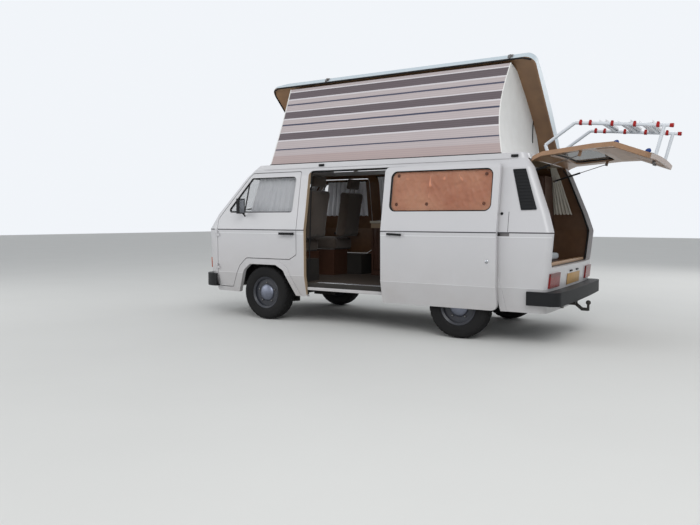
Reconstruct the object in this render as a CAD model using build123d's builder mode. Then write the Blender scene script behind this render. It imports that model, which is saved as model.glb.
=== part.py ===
from build123d import *
import os
from math import cos, hypot, radians, sin, tan

# Camper van: rear-engined, with a roof that rises on a side hinge, millimetres.
# +X points to the rear, -Y to the van's left side, +Z up, and the ground is at z = 0.
# Lengths along the van are measured from the front axle, through the three datum planes below.

# Driving dimensions
front_axle_x = -1640
wheelbase = 2460
track = 1585
tyre_radius = 320
tyre_width = 185
wall = 45
door_gap = 8
running_clearance = 0.3

# Heights of the body's creases and edges
sill_z = 310
lower_crease_z = 548
belt_z = 1078
window_base_z = 1262
window_top_z = 1700
gutter_z = 1790
roof_rail_z = 1843
floor_z = 470
floor_thickness = 50
deck_z = 720

# Plan outline of the body at each height:
# z, start of flat side, end of flat side, half width, nose corner radius, nose bow (degrees), tail radius
body_sections = (
    (sill_z, -660, 3267, 860, 220, 9, 68),
    (lower_crease_z, -700, 3285, 912, 240, 9, 68),
    (belt_z, -712, 3332, 920, 260, 10, 68),
    (window_base_z, -660, 3275, 887, 120, 14, 68),
    (window_top_z, -270, 3107, 815, 100, 12, 68),
    (gutter_z, -190, 3042, 765, 100, 12, 68),
)
roof_sections = (
    (gutter_z, -190, 3042, 765, 100, 12, 68),
    (roof_rail_z, -110, 3022, 757, 100, 12, 68),
)
tail_bow = 3

# Panel joints
nose_edge_x = -718
door_front_x = nose_edge_x + door_gap
side_split_y = 680
doorway_front_x = 600
doorway_rear_x = 1855
door_top_z = 1745
gate_bottom_z = 745

# Sliding door, slid open along its rail
slide_travel = 1030
slide_out = 70

# Tailgate, hinged at the roof's rear edge and standing open
gate_hinge_x = 3112
gate_hinge_z = 1815
gate_open_angle = 74

# Gas struts: their pins on the body and, with the tailgate closed, on the tailgate
strut_y = 625
strut_gate_x = 3225
strut_gate_z = 1380
strut_body_x = 3000
strut_body_z = 1635
strut_pin_radius = 6
strut_eye_radius = 12
strut_eye_half = 6
strut_wall_y = 795

# Raising roof, hinged along its right edge
roof_hinge_y = 750
roof_hinge_z = 1852
roof_barrel_radius = 8
roof_pin_radius = 4
roof_open_angle = 41.3
roof_front_x = -300
roof_rear_x = 3035
roof_skin = 20
roof_lip = 70
roof_crown = 65
roof_nose_length = 290
hatch_front_x = 20
hatch_rear_x = 2840
hatch_half_width = 610

# Belt line groove round the body, and the slot behind the sliding door for its rail: x and z ranges
groove_z = (1066, 1078)
groove_depth = 6
rail_slot = (1870, 2992, 1038, 1066)
rail_slot_depth = 24
rail_thickness = 6

# Wheel arches seen from the side, each measured from its axle: x, z, corner radius
front_arch_corners = (
    (-435, 250, 0),
    (-290, 590, 60),
    (-200, 661, 60),
    (190, 661, 60),
    (300, 600, 60),
    (480, 250, 0),
)
rear_arch_corners = (
    (-452, 250, 0),
    (-388, 593, 60),
    (-290, 661, 60),
    (290, 661, 60),
    (388, 593, 60),
    (452, 250, 0),
)
arch_flare = 62
flare_proud = 9

# Cab door seen from the side: x, z, corner radius
cab_door_corners = (
    (door_front_x, 372, 15),
    (-505, 372, 15),
    (-365, 640, 80),
    (-262, 735, 60),
    (385, 735, 30),
    (482, 790, 30),
    (482, door_top_z, 30),
    (-232, door_top_z, 30),
    (-655, 1262, 20),
    (door_front_x, 1190, 30),
)
cab_window_corners = (
    (-588, 1276, 35),
    (402, 1276, 35),
    (425, 1692, 45),
    (-232, 1692, 35),
)

# Sliding doorway and the windows behind the cab: x, z, corner radius
slide_door_corners = (
    (doorway_front_x, 316, 25),
    (doorway_rear_x, 316, 60),
    (doorway_rear_x, door_top_z, 45),
    (doorway_front_x, door_top_z, 45),
)
middle_window = (678, 1788, 1278, 1698)
rear_window = (1940, 2876, 1278, 1698)
window_corner_radius = 70

# Tailgate and windscreen seen from behind: half width, z, corner radius
gate_gap = 10
gate_corners = (
    (838, gate_bottom_z, 60),
    (855, belt_z, 200),
    (745, window_top_z, 0),
    (722, gutter_z + 60, 0),
)
gate_window_corners = (
    (640, 1300, 70),
    (585, 1672, 70),
)
windscreen_corners = (
    (752, 1290, 60),
    (668, 1702, 50),
)
glass_depth = 14
glass_thickness = 5

# Wheels
rim_radius = 178
kingpin_y = 700
stub_radius = 24
wheel_offset = 39
rear_axle_x = wheelbase
wheel_y = track / 2


def level(z):
    """Horizontal datum: local x runs rearwards from the front axle, local y to the right."""
    return Plane(origin=(front_axle_x, 0, z), x_dir=(1, 0, 0), z_dir=(0, 0, 1))


def side(y):
    """Upright datum along the van: local x runs rearwards, local y up, extrusions go left."""
    return Plane(origin=(front_axle_x, y, 0), x_dir=(1, 0, 0), z_dir=(0, -1, 0))


def across(x):
    """Upright datum across the van: local x runs to the right, local y up, extrusions go rearwards."""
    return Plane(origin=(front_axle_x + x, 0, 0), x_dir=(0, 1, 0), z_dir=(1, 0, 0))


def end_points(x, half_width, radius, bow, way):
    """The flat side's end, the corner's middle and end, and the middle of the bowed end face."""
    turn = radians(bow)
    middle_turn = radians((90 + bow) / 2)
    centre_y = half_width - radius
    middle = (x + way * radius * cos(middle_turn), centre_y + radius * sin(middle_turn))
    corner = (x + way * radius * cos(turn), centre_y + radius * sin(turn))
    tip = (corner[0] + way * corner[1] * tan(turn / 2), 0)
    return (x, half_width), middle, corner, tip


def flip(point):
    return (point[0], -point[1])


def body_form(inset, sections=body_sections):
    """Solid inside the body's skin, lofted between the plan outlines and set in by inset."""
    with BuildPart() as form:
        for z, side_start, side_end, half_width, nose_radius, nose_bow, tail_radius in sections:
            nose = end_points(side_start, half_width - inset, nose_radius - inset, nose_bow, -1)
            tail = end_points(side_end, half_width - inset, tail_radius - inset, tail_bow, 1)
            with BuildSketch(level(z)):
                with BuildLine():
                    Line(nose[0], tail[0])
                    ThreePointArc(tail[0], tail[1], tail[2])
                    ThreePointArc(tail[2], tail[3], flip(tail[2]))
                    ThreePointArc(flip(tail[2]), flip(tail[1]), flip(tail[0]))
                    Line(flip(tail[0]), flip(nose[0]))
                    ThreePointArc(flip(nose[0]), flip(nose[1]), flip(nose[2]))
                    ThreePointArc(flip(nose[2]), nose[3], nose[2])
                    ThreePointArc(nose[2], nose[1], nose[0])
                make_face()
        loft(ruled=True)
    return form.part


def slab(x0, x1, y0, y1, z0, z1, mode=Mode.ADD):
    """Box between two corners, added to or taken from the part being built."""
    with BuildSketch(level(z0)) as base:
        with Locations(((x0 + x1) / 2, (y0 + y1) / 2)):
            Rectangle(x1 - x0, y1 - y0)
    extrude(base.sketch, amount=z1 - z0, mode=mode)


def side_shape(corners, y0, y1, mode, grow=0):
    """Outline seen from the side, from rows of x, z and corner radius, run between two values of y."""
    with BuildSketch(side(y1)) as outline:
        with BuildLine():
            points = [(x, z) for x, z, _ in corners]
            radii = [r for _, _, r in corners]
            FilletPolyline(*points, radius=radii, close=True)
        make_face()
        if grow:
            offset(amount=grow, kind=Kind.INTERSECTION)
    extrude(outline.sketch, amount=y1 - y0, mode=mode)


def end_shape(half_corners, x0, x1, mode, grow=0):
    """Outline seen from behind, mirrored about the middle, run between two values of x."""
    right = [(y, z) for y, z, _ in half_corners]
    left = [(-y, z) for y, z, _ in reversed(half_corners)]
    radii = [r for _, _, r in half_corners]
    with BuildSketch(across(x0)) as outline:
        with BuildLine():
            FilletPolyline(*right, *left, radius=radii + radii[::-1], close=True)
        make_face()
        if grow:
            offset(amount=grow, kind=Kind.INTERSECTION)
    extrude(outline.sketch, amount=x1 - x0, mode=mode)


def window_corners(window):
    x0, x1, z0, z1 = window
    return ((x0, z0, window_corner_radius), (x1, z0, window_corner_radius),
            (x1, z1, window_corner_radius), (x0, z1, window_corner_radius))


def rod(start, end, radius, mode=Mode.ADD):
    """Round bar between two points given from the front axle."""
    a = Vector(front_axle_x, 0, 0) + Vector(*start)
    b = Vector(front_axle_x, 0, 0) + Vector(*end)
    with BuildSketch(Plane(origin=a, z_dir=b - a)) as section:
        Circle(radius)
    extrude(section.sketch, amount=(b - a).length, mode=mode)


def upright(x, y, radius, z0, z1, mode=Mode.ADD):
    """Round bar standing on end."""
    with BuildSketch(level(z0)) as section:
        with Locations((x, y)):
            Circle(radius)
    extrude(section.sketch, amount=z1 - z0, mode=mode)


def crosswise(x, z, radius, y0, y1, mode=Mode.ADD):
    """Round bar lying across the van."""
    with BuildSketch(side(y1)) as section:
        with Locations((x, z)):
            Circle(radius)
    extrude(section.sketch, amount=y1 - y0, mode=mode)


def lengthwise(y, z, radius, x0, x1, mode=Mode.ADD):
    """Round bar lying along the van."""
    with BuildSketch(across(x0)) as section:
        with Locations((y, z)):
            Circle(radius)
    extrude(section.sketch, amount=x1 - x0, mode=mode)


def swing_gate(part, angle=gate_open_angle):
    """Turn a piece of the closed tailgate up about its hinge."""
    hinge = Axis((front_axle_x + gate_hinge_x, 0, gate_hinge_z), (0, -1, 0))
    return part.rotate(hinge, angle)


def raise_roof(part, angle=roof_open_angle):
    """Turn a piece of the closed roof up about its right edge."""
    hinge = Axis((front_axle_x, roof_hinge_y, roof_hinge_z), (-1, 0, 0))
    return part.rotate(hinge, angle)


def mirrored(part):
    return part.mirror(Plane.XZ)


def keep(part, name):
    part.label = name
    export_step(part, f"parts/{name}.step")


os.makedirs("parts", exist_ok=True)

body_outer = body_form(0)
body_inner = body_form(wall)

# Body wall: one closed ring, from which every panel is cut where the real panels meet
with BuildPart() as belt_groove:
    add(body_outer)
    add(body_form(groove_depth), mode=Mode.SUBTRACT)
    slab(-1400, 3600, -1100, 1100, *groove_z, mode=Mode.INTERSECT)
with BuildPart() as body_wall:
    add(body_outer)
    add(body_inner, mode=Mode.SUBTRACT)
    add(belt_groove.part, mode=Mode.SUBTRACT)

# Glass layer, set back from the skin
with BuildPart() as glass_layer:
    add(body_form(glass_depth))
    add(body_form(glass_depth + glass_thickness), mode=Mode.SUBTRACT)

# Layer just proud of the skin, for the pressed wheel arch lips and the lamps
with BuildPart() as proud_layer:
    add(body_form(-flare_proud))
    add(body_outer, mode=Mode.SUBTRACT)

reach = 1100

# Hinges: a fixed knuckle with its pin, and a sleeve that turns on the pin below it
door_hinge_x = nose_edge_x + door_gap / 2
door_hinge_y = 932
hinge_heights = (620, 1020)
hinge_pin_radius = 5
hinge_barrel_radius = 9
hinge_length = 30
hinge_leaf = 34


def door_hinge_fixed(way):
    for z in hinge_heights:
        upright(door_hinge_x, way * door_hinge_y, hinge_barrel_radius, z, z + hinge_length)
        upright(door_hinge_x, way * door_hinge_y, hinge_pin_radius, z - hinge_length, z)
        near, far = sorted((way * (door_hinge_y + 4), way * (door_hinge_y - 42)))
        slab(door_hinge_x - hinge_leaf, nose_edge_x, near, far, z, z + hinge_length)
        near, far = sorted((way * (door_hinge_y + 4), way * (door_hinge_y - 4)))
        slab(nose_edge_x - 2, door_hinge_x, near, far, z, z + hinge_length)


def door_hinge_moving(way):
    for z in hinge_heights:
        top = z - running_clearance
        upright(door_hinge_x, way * door_hinge_y, hinge_barrel_radius, z - hinge_length, top)
        near, far = sorted((way * (door_hinge_y + 4), way * (door_hinge_y - 4)))
        slab(door_hinge_x, door_hinge_x + hinge_leaf, near, far, z - hinge_length, top)
        near, far = sorted((way * (door_hinge_y - 3), way * (door_hinge_y - 34)))
        slab(nose_edge_x + door_gap + 2, door_hinge_x + hinge_leaf, near, far, z - hinge_length, top)
        bore = hinge_pin_radius + running_clearance
        upright(door_hinge_x, way * door_hinge_y, bore, z - hinge_length, top, Mode.SUBTRACT)


# Nose panel
lamp_y = 600
lamp_z = 830
lamp_radius = 92
with BuildPart() as nose_panel:
    add(body_wall.part)
    slab(-reach, nose_edge_x, -reach, reach, sill_z, 1285, mode=Mode.INTERSECT)
    with BuildSketch(across(-reach)) as lamp_holes:
        with Locations((lamp_y, lamp_z), (-lamp_y, lamp_z)):
            Circle(lamp_radius + running_clearance)
    extrude(lamp_holes.sketch, amount=reach - 800, mode=Mode.SUBTRACT)
    for way in (-1, 1):
        door_hinge_fixed(way)
keep(nose_panel.part, "nose_panel")


front_arch = front_arch_corners
rear_arch = [(x + wheelbase, z, r) for x, z, r in rear_arch_corners]


def arch_flare_form(arch):
    """Pressed lip round one wheel arch, just proud of the skin."""
    with BuildPart() as flare:
        add(proud_layer.part)
        side_shape(arch, -reach, -500, Mode.INTERSECT, grow=arch_flare)
        slab(-600, 3150, -reach, -500, sill_z, 800, mode=Mode.INTERSECT)
    return flare.part


def side_panel_form(has_slide_door):
    """Left side of the body from the screen pillar to the tail, with its doorways, windows and arches."""
    with BuildPart() as panel:
        add(body_wall.part)
        slab(-reach, 3600, -reach, -side_split_y, sill_z, gutter_z, mode=Mode.INTERSECT)
        slab(-reach, nose_edge_x, -reach, 0, sill_z, 1285, mode=Mode.SUBTRACT)
        end_shape(windscreen_corners, -reach, -200, Mode.SUBTRACT)
        end_shape(gate_corners, 2900, 3600, Mode.SUBTRACT)
        side_shape(cab_door_corners, -reach, -500, Mode.SUBTRACT, grow=door_gap)
        if has_slide_door:
            side_shape(slide_door_corners, -reach, -500, Mode.SUBTRACT, grow=door_gap)
        else:
            side_shape(window_corners(middle_window), -reach, -500, Mode.SUBTRACT)
        side_shape(window_corners(rear_window), -reach, -500, Mode.SUBTRACT)
        for arch in (front_arch, rear_arch):
            add(arch_flare_form(arch))
            side_shape(arch, -reach, -500, Mode.SUBTRACT)
        crosswise(strut_body_x, strut_body_z, strut_pin_radius, -strut_y - 12, -strut_y + 8)
        crosswise(strut_body_x, strut_body_z, strut_eye_radius, -strut_wall_y, -strut_y - 12)
    return panel.part


with BuildPart() as rail_slot_form:
    add(body_outer)
    add(body_form(rail_slot_depth), mode=Mode.SUBTRACT)
    slab(rail_slot[0], rail_slot[1], -reach, 0, rail_slot[2], rail_slot[3], mode=Mode.INTERSECT)
with BuildPart() as left_side_panel:
    add(side_panel_form(True))
    add(rail_slot_form.part, mode=Mode.SUBTRACT)
keep(left_side_panel.part, "left_side_panel")

with BuildPart() as right_side_panel:
    add(mirrored(side_panel_form(False)))
keep(right_side_panel.part, "right_side_panel")

# Rear panel under the tailgate
with BuildPart() as rear_panel:
    add(body_wall.part)
    slab(3000, 3600, -side_split_y, side_split_y, sill_z, gate_bottom_z, mode=Mode.INTERSECT)
keep(rear_panel.part, "rear_panel")

gate_notch = 22
gate_notch_half = 650
gate_barrel_radius = 10
gate_hinge_places = (-465, 435)
roof_hinge_places = (250, 1400, 2550)

# Roof: rail all round, cab roof, and the hatch under the raising roof
with BuildPart() as roof_pan:
    add(body_wall.part)
    slab(-reach, 0, -side_split_y, side_split_y, 1600, gutter_z, mode=Mode.INTERSECT)
    end_shape(windscreen_corners, -reach, -200, Mode.SUBTRACT)
    add(body_form(0, roof_sections))
    slab(hatch_front_x, hatch_rear_x, -hatch_half_width, hatch_half_width, 1700, 1900, mode=Mode.SUBTRACT)
    slab(gate_hinge_x - gate_notch, 3600, -gate_notch_half, gate_notch_half, 1700, 1900, mode=Mode.SUBTRACT)
    for y in gate_hinge_places:
        crosswise(gate_hinge_x, gate_hinge_z, gate_barrel_radius, y, y + hinge_length)
        crosswise(gate_hinge_x, gate_hinge_z, hinge_pin_radius, y - hinge_length, y)
        leaf_z = (gate_hinge_z - 9, gate_hinge_z + 9)
        slab(gate_hinge_x - gate_notch, gate_hinge_x, y, y + hinge_length, *leaf_z)
    for x in roof_hinge_places:
        lengthwise(roof_hinge_y, roof_hinge_z, roof_barrel_radius, x, x + hinge_length)
        lengthwise(roof_hinge_y, roof_hinge_z, roof_pin_radius, x + hinge_length, x + 2 * hinge_length)
        leaf_y = (roof_hinge_y - 8, roof_hinge_y + 7)
        slab(x, x + hinge_length, *leaf_y, roof_rail_z - 5, roof_hinge_z)
keep(roof_pan.part, "roof_pan")

# Windscreen, and the glass of the sides and of the sliding door
with BuildPart() as screen_pane:
    add(glass_layer.part)
    slab(-reach, -150, -900, 900, 1200, gutter_z, mode=Mode.INTERSECT)
    end_shape(windscreen_corners, -reach, -200, Mode.INTERSECT)


def side_glass(corners):
    with BuildPart() as pane:
        add(glass_layer.part)
        side_shape(corners, -reach, -500, Mode.INTERSECT)
    return pane.part


def slid(part):
    """Move a piece of the closed sliding door to its open place."""
    return part.moved(Location((slide_travel, -slide_out, 0)))


with BuildPart() as body_windows:
    add(screen_pane.part)
    add(side_glass(window_corners(rear_window)))
    add(mirrored(side_glass(window_corners(rear_window))))
    add(mirrored(side_glass(window_corners(middle_window))))
    add(slid(side_glass(window_corners(middle_window))))
keep(body_windows.part, "body_windows")

# Sliding door
with BuildPart() as slide_leaf:
    add(body_wall.part)
    side_shape(slide_door_corners, -reach, -500, Mode.INTERSECT)
    side_shape(window_corners(middle_window), -reach, -500, Mode.SUBTRACT)
with BuildPart() as sliding_door:
    add(slid(slide_leaf.part))
keep(sliding_door.part, "sliding_door")

# Cab doors, with glass, and with the lever handle and mirror on the skin.
# Behind its skin a door's rear edges are set forward, so that they clear the pillar as it swings.
door_skin = 18
door_set_back = 22
with BuildPart() as door_heel:
    add(body_form(door_skin))
    side_shape(cab_door_corners, -reach, -500, Mode.INTERSECT)
    side_shape([(x - door_set_back, z, r) for x, z, r in cab_door_corners], -reach, -500, Mode.SUBTRACT)
    slab(-600, 500, -reach, 0, sill_z, 700, mode=Mode.INTERSECT)
with BuildPart() as door_back_edge:
    add(body_form(door_skin))
    slab(482 - door_set_back, 500, -reach, 0, 760, 1690, mode=Mode.INTERSECT)
with BuildPart() as left_door_panel:
    add(body_wall.part)
    side_shape(cab_door_corners, -reach, -500, Mode.INTERSECT)
    side_shape(cab_window_corners, -reach, -500, Mode.SUBTRACT)
    add(door_heel.part, mode=Mode.SUBTRACT)
    add(door_back_edge.part, mode=Mode.SUBTRACT)
    door_hinge_moving(-1)
keep(left_door_panel.part, "left_door_panel")

with BuildPart() as left_door_glass:
    add(side_glass(cab_window_corners))
keep(left_door_glass.part, "left_door_glass")

mirror_x = -275
mirror_z = 1262
with BuildPart() as left_door_fittings:
    slab(265, 462, -962, -948, 1016, 1044)
    slab(275, 300, -948, -905, 1016, 1044)
    slab(430, 455, -948, -905, 1016, 1044)
    rod((mirror_x - 20, -880, mirror_z - 35), (mirror_x, -965, mirror_z + 15), 9)
    slab(mirror_x - 22, mirror_x + 18, -1045, -935, mirror_z, mirror_z + 180)
    add(body_outer, mode=Mode.SUBTRACT)
keep(left_door_fittings.part, "left_door_fittings")

for name, part in (
    ("right_door_panel", left_door_panel.part),
    ("right_door_glass", left_door_glass.part),
    ("right_door_fittings", left_door_fittings.part),
):
    with BuildPart() as right_piece:
        add(mirrored(part))
    keep(right_piece.part, name)

# Tailgate
with BuildPart() as gate_leaf:
    add(body_wall.part)
    end_shape(gate_corners, 2900, 3600, Mode.INTERSECT, grow=-gate_gap)
    slab(2900, 3600, -reach, reach, sill_z, gutter_z - door_gap, mode=Mode.INTERSECT)
    end_shape(gate_window_corners, 2900, 3600, Mode.SUBTRACT)
    for y in gate_hinge_places:
        high = y - running_clearance
        crosswise(gate_hinge_x, gate_hinge_z, gate_barrel_radius, y - hinge_length, high)
        slab(gate_hinge_x - 8, gate_hinge_x + 8, y - hinge_length, high, gutter_z - 20, gate_hinge_z)
        bore = hinge_pin_radius + running_clearance
        crosswise(gate_hinge_x, gate_hinge_z, bore, y - hinge_length, high, Mode.SUBTRACT)
    for way in (-1, 1):
        near, far = sorted((way * (strut_y + 12), way * (strut_y + 24)))
        slab(strut_gate_x - 14, strut_gate_x + 60, near, far, strut_gate_z - 14, strut_gate_z + 14)
        near, far = sorted((way * (strut_y + strut_eye_half + running_clearance), way * (strut_y + 12)))
        crosswise(strut_gate_x, strut_gate_z, strut_pin_radius, near, far)
with BuildPart() as tailgate_panel:
    add(swing_gate(gate_leaf.part))
keep(tailgate_panel.part, "tailgate_panel")

with BuildPart() as gate_pane:
    add(glass_layer.part)
    end_shape(gate_window_corners, 2900, 3600, Mode.INTERSECT)
with BuildPart() as tailgate_glass:
    add(swing_gate(gate_pane.part))
keep(tailgate_glass.part, "tailgate_glass")


def tail_skin_x(z, y):
    """Where the tail's skin stands at a height, a distance y from the middle."""
    ends = []
    for row in body_sections:
        corner, tip = end_points(row[2], row[3], row[6], tail_bow, 1)[2:]
        ends.append((row[0], tip[0] - (tip[0] - corner[0]) * (y / corner[1]) ** 2))
    for (z0, x0), (z1, x1) in zip(ends, ends[1:]):
        if z0 <= z <= z1:
            return x0 + (x1 - x0) * (z - z0) / (z1 - z0)


def swung(x, z):
    """Where a point of the closed tailgate stands when it is open."""
    turn = radians(gate_open_angle)
    back, up = x - gate_hinge_x, z - gate_hinge_z
    x_open = gate_hinge_x + back * cos(turn) - up * sin(turn)
    z_open = gate_hinge_z + back * sin(turn) + up * cos(turn)
    return (x_open, z_open)


# Rack for two cycles on the tailgate: two bent tubes on feet, with a stay down to the lower skin
rack_tube_radius = 16
rack_y = 350
rack_elbow = (3160, 1945)
rack_bend = (3445, 2144)
rack_end = (4325, 2058)
rack_stay_x = 4245
rack_foot_z = 1735
rack_stay_z = 785
foot_depth = 12
with BuildPart() as cycle_rack:
    for way in (-1, 1):
        y = way * rack_y
        foot = swung(tail_skin_x(rack_foot_z, y) - foot_depth, rack_foot_z)
        heel = swung(tail_skin_x(rack_stay_z, y) - foot_depth, rack_stay_z)
        stay_z = rack_end[1] + 8
        rod((foot[0], y, foot[1]), (rack_elbow[0], y, rack_elbow[1]), rack_tube_radius)
        rod((rack_elbow[0], y, rack_elbow[1]), (rack_bend[0], y, rack_bend[1]), rack_tube_radius)
        rod((rack_bend[0], y, rack_bend[1]), (rack_end[0], y, rack_end[1]), rack_tube_radius)
        rod((rack_stay_x, y, stay_z), (heel[0], y, heel[1]), rack_tube_radius)
    slope = (rack_end[1] - rack_bend[1]) / (rack_end[0] - rack_bend[0])
    for x in (3700, 3900, 4100):
        crosswise(x, rack_bend[1] + slope * (x - rack_bend[0]), rack_tube_radius - 4, -rack_y, rack_y)
    add(tailgate_panel.part, mode=Mode.SUBTRACT)
keep(cycle_rack.part, "cycle_rack")

# Raising roof: one moulded shell with a lip all round, a crowned top and a wedge nose
roof_half = 742
roof_base_z = 1856
roof_corner_radius = 110
roof_edge_radius = 28


def roof_form(inset, drop=0):
    """Solid inside the closed roof's skin, set in by inset and run down below its base by drop."""
    half = roof_half - inset
    edge_z = roof_base_z + roof_lip - inset
    base = roof_base_z - drop
    with BuildPart() as form:
        with BuildSketch(across(roof_front_x + inset)) as section:
            with BuildLine():
                Polyline((-half + 8, edge_z), (-half, base), (half, base), (half - 8, edge_z))
                ThreePointArc((half - 8, edge_z), (0, edge_z + roof_crown), (-half + 8, edge_z))
            make_face()
        extrude(section.sketch, amount=roof_rear_x - roof_front_x - 2 * inset)
        with BuildSketch(level(base)) as plan:
            with BuildLine():
                x0, x1 = roof_front_x + inset, roof_rear_x - inset
                corner = roof_corner_radius - inset
                FilletPolyline((x0, -half), (x1, -half), (x1, half), (x0, half), radius=corner, close=True)
            make_face()
        extrude(plan.sketch, amount=500, mode=Mode.INTERSECT)
        slope = roof_lip / roof_nose_length
        tip_z = roof_base_z + 14 - inset
        with BuildSketch(side(reach)) as wedge:
            with BuildLine():
                x0, x1 = roof_front_x - 200, roof_front_x + 700
                z0, z1 = tip_z - 200 * slope, tip_z + 700 * slope
                Polyline((x0, z0), (x1, z1), (x1, 2400), (x0, 2400), close=True)
            make_face()
        extrude(wedge.sketch, amount=2 * reach, mode=Mode.SUBTRACT)
    return form.part


with BuildPart() as roof_closed:
    add(roof_form(0))
    add(roof_form(roof_skin, drop=20), mode=Mode.SUBTRACT)
    for x in roof_hinge_places:
        start = x + hinge_length + running_clearance
        end = x + 2 * hinge_length
        lengthwise(roof_hinge_y, roof_hinge_z, roof_barrel_radius, start, end)
        slab(start, end, roof_half - 14, roof_hinge_y + 6, roof_hinge_z, roof_base_z + 24)
        bore = roof_pin_radius + running_clearance
        lengthwise(roof_hinge_y, roof_hinge_z, bore, start, end, Mode.SUBTRACT)
with BuildPart() as pop_top_roof:
    add(raise_roof(roof_closed.part))
keep(pop_top_roof.part, "pop_top_roof")

# Canvas under the raised roof: three walls that stand on the roof rail
canvas_front_x = -38
canvas_rear_x = 2852
canvas_y = 715
canvas_thickness = 10


def raised_point(y, z):
    """Where a point of the closed roof stands when the roof is up: y and z."""
    turn = radians(roof_open_angle)
    out, up = roof_hinge_y - y, z - roof_hinge_z
    return (roof_hinge_y - out * cos(turn) + up * sin(turn), roof_hinge_z + out * sin(turn) + up * cos(turn))


def canvas_wall(x, crown_z):
    """End wall across the van, its top edge under the raised roof's crown."""
    left_top = raised_point(-700, roof_base_z + 14)
    right_top = raised_point(610, roof_base_z + 14)
    crown = raised_point(0, crown_z)
    with BuildSketch(across(x)) as wall_face:
        with BuildLine():
            Polyline(left_top, (-canvas_y, roof_rail_z), (canvas_y - 60, roof_rail_z), right_top)
            ThreePointArc(right_top, crown, left_top)
        make_face()
    extrude(wall_face.sketch, amount=canvas_thickness)


with BuildPart() as roof_canvas:
    canvas_wall(canvas_front_x, roof_base_z + 40)
    canvas_wall(canvas_rear_x - canvas_thickness, roof_base_z + 90)
    left_top = raised_point(-700, roof_base_z + 14)
    with BuildSketch(across(canvas_front_x)) as side_wall:
        with BuildLine():
            Polyline(left_top, (-canvas_y, roof_rail_z), (-canvas_y + canvas_thickness, roof_rail_z),
                     (left_top[0] + canvas_thickness, left_top[1]), close=True)
        make_face()
    extrude(side_wall.sketch, amount=canvas_rear_x - canvas_front_x)
keep(roof_canvas.part, "roof_canvas")

# Floor: load floor, step up to the rear deck, wheel houses, and the chassis rails beneath
house_inner_y = 512
house_skin = 12
chassis_z = 345
jack_x = 800
jack_pad = 12
deck_step_x = 2060
with BuildPart() as floor_pan:
    slab(-reach, deck_step_x + 30, -reach, reach, floor_z - floor_thickness, floor_z)
    slab(deck_step_x, deck_step_x + 30, -reach, reach, floor_z - floor_thickness, deck_z)
    slab(deck_step_x, 3600, -reach, reach, deck_z - 30, deck_z)
    for near, far in ((-reach, -house_inner_y + house_skin), (house_inner_y - house_skin, reach)):
        slab(-470 - house_skin, 510 + house_skin, near, far, floor_z - floor_thickness, deck_z + 12)
        slab(2950, 2950 + house_skin, near, far, sill_z + 20, deck_z)
    add(body_inner, mode=Mode.INTERSECT)
    for near, far in ((-reach, -house_inner_y), (house_inner_y, reach)):
        slab(-470, 510, near, far, 0, deck_z, mode=Mode.SUBTRACT)
    for way in (-1, 1):
        near, far = sorted((way * (house_inner_y - house_skin), way * house_inner_y))
        slab(deck_step_x + 30, 2950 + house_skin, near, far, sill_z + 90, deck_z - 30)
        near, far = sorted((way * 300, way * 370))
        slab(-850, deck_step_x + 30, near, far, chassis_z, floor_z - floor_thickness)
        slab(jack_x - 40, jack_x + 40, near, far, chassis_z - jack_pad, chassis_z)
    for x in (560, 1300, 2000):
        slab(x, x + 60, -370, 370, 365, floor_z - floor_thickness)
keep(floor_pan.part, "floor_pan")

# Bumpers: a channel that wraps the corners
bumper_skin = 12


def bumper_form(z0, z1, inset):
    rows = tuple((z, -765, 3380, 930, 240, 9, 95) for z in (z0, z1))
    return body_form(inset, rows)


def bumper(z0, z1, x0, x1):
    with BuildPart() as channel:
        add(bumper_form(z0, z1, 0))
        add(bumper_form(z0 + bumper_skin, z1 - bumper_skin, bumper_skin), mode=Mode.SUBTRACT)
        add(body_outer, mode=Mode.SUBTRACT)
        slab(x0, x1, -reach, reach, z0, z1, mode=Mode.INTERSECT)
        add(bumper_form(z0 + bumper_skin, z1 - bumper_skin, bumper_skin), mode=Mode.SUBTRACT)
    return channel.part


with BuildPart() as front_bumper:
    add(bumper(368, 522, -1200, nose_edge_x - 12))
keep(front_bumper.part, "front_bumper")
with BuildPart() as rear_bumper:
    add(bumper(390, 520, 3168, 3700))
keep(rear_bumper.part, "rear_bumper")

# Tow bar: bracket under the bumper, swan neck and ball
tow_ball_radius = 25
tow_ball_x = 3540
tow_ball_z = 345
with BuildPart() as tow_bar:
    slab(3300, 3420, -60, 60, 318, 372)
    add(body_outer, mode=Mode.SUBTRACT)
    rod((3400, 0, 338), (3480, 0, 275), 17)
    rod((3470, 0, 275), (tow_ball_x, 0, 275), 17)
    rod((tow_ball_x, 0, 262), (tow_ball_x, 0, tow_ball_z), 13)
    with BuildSketch(side(0)) as ball_half:
        with Locations((tow_ball_x, tow_ball_z)):
            Circle(tow_ball_radius)
            away = (Align.MAX, Align.CENTER)
            Rectangle(2 * tow_ball_radius, 2 * tow_ball_radius, align=away, mode=Mode.SUBTRACT)
    revolve(ball_half.sketch, axis=Axis((front_axle_x + tow_ball_x, 0, 0), (0, 0, 1)))
keep(tow_bar.part, "tow_bar")

# Lamps on the body's corners and in the nose
with BuildPart() as tail_lamps:
    add(body_form(-16))
    add(body_outer, mode=Mode.SUBTRACT)
    slab(3270, 3600, -862, 862, 553, 690, mode=Mode.INTERSECT)
    slab(3000, 3600, -560, 560, 553, 690, mode=Mode.SUBTRACT)
keep(tail_lamps.part, "tail_lamps")

with BuildPart() as front_lamps:
    for way in (-1, 1):
        with BuildSketch(across(-998)) as lamp_face:
            with Locations((way * lamp_y, lamp_z)):
                Circle(lamp_radius)
        extrude(lamp_face.sketch, amount=80)
keep(front_lamps.part, "front_lamps")

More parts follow.
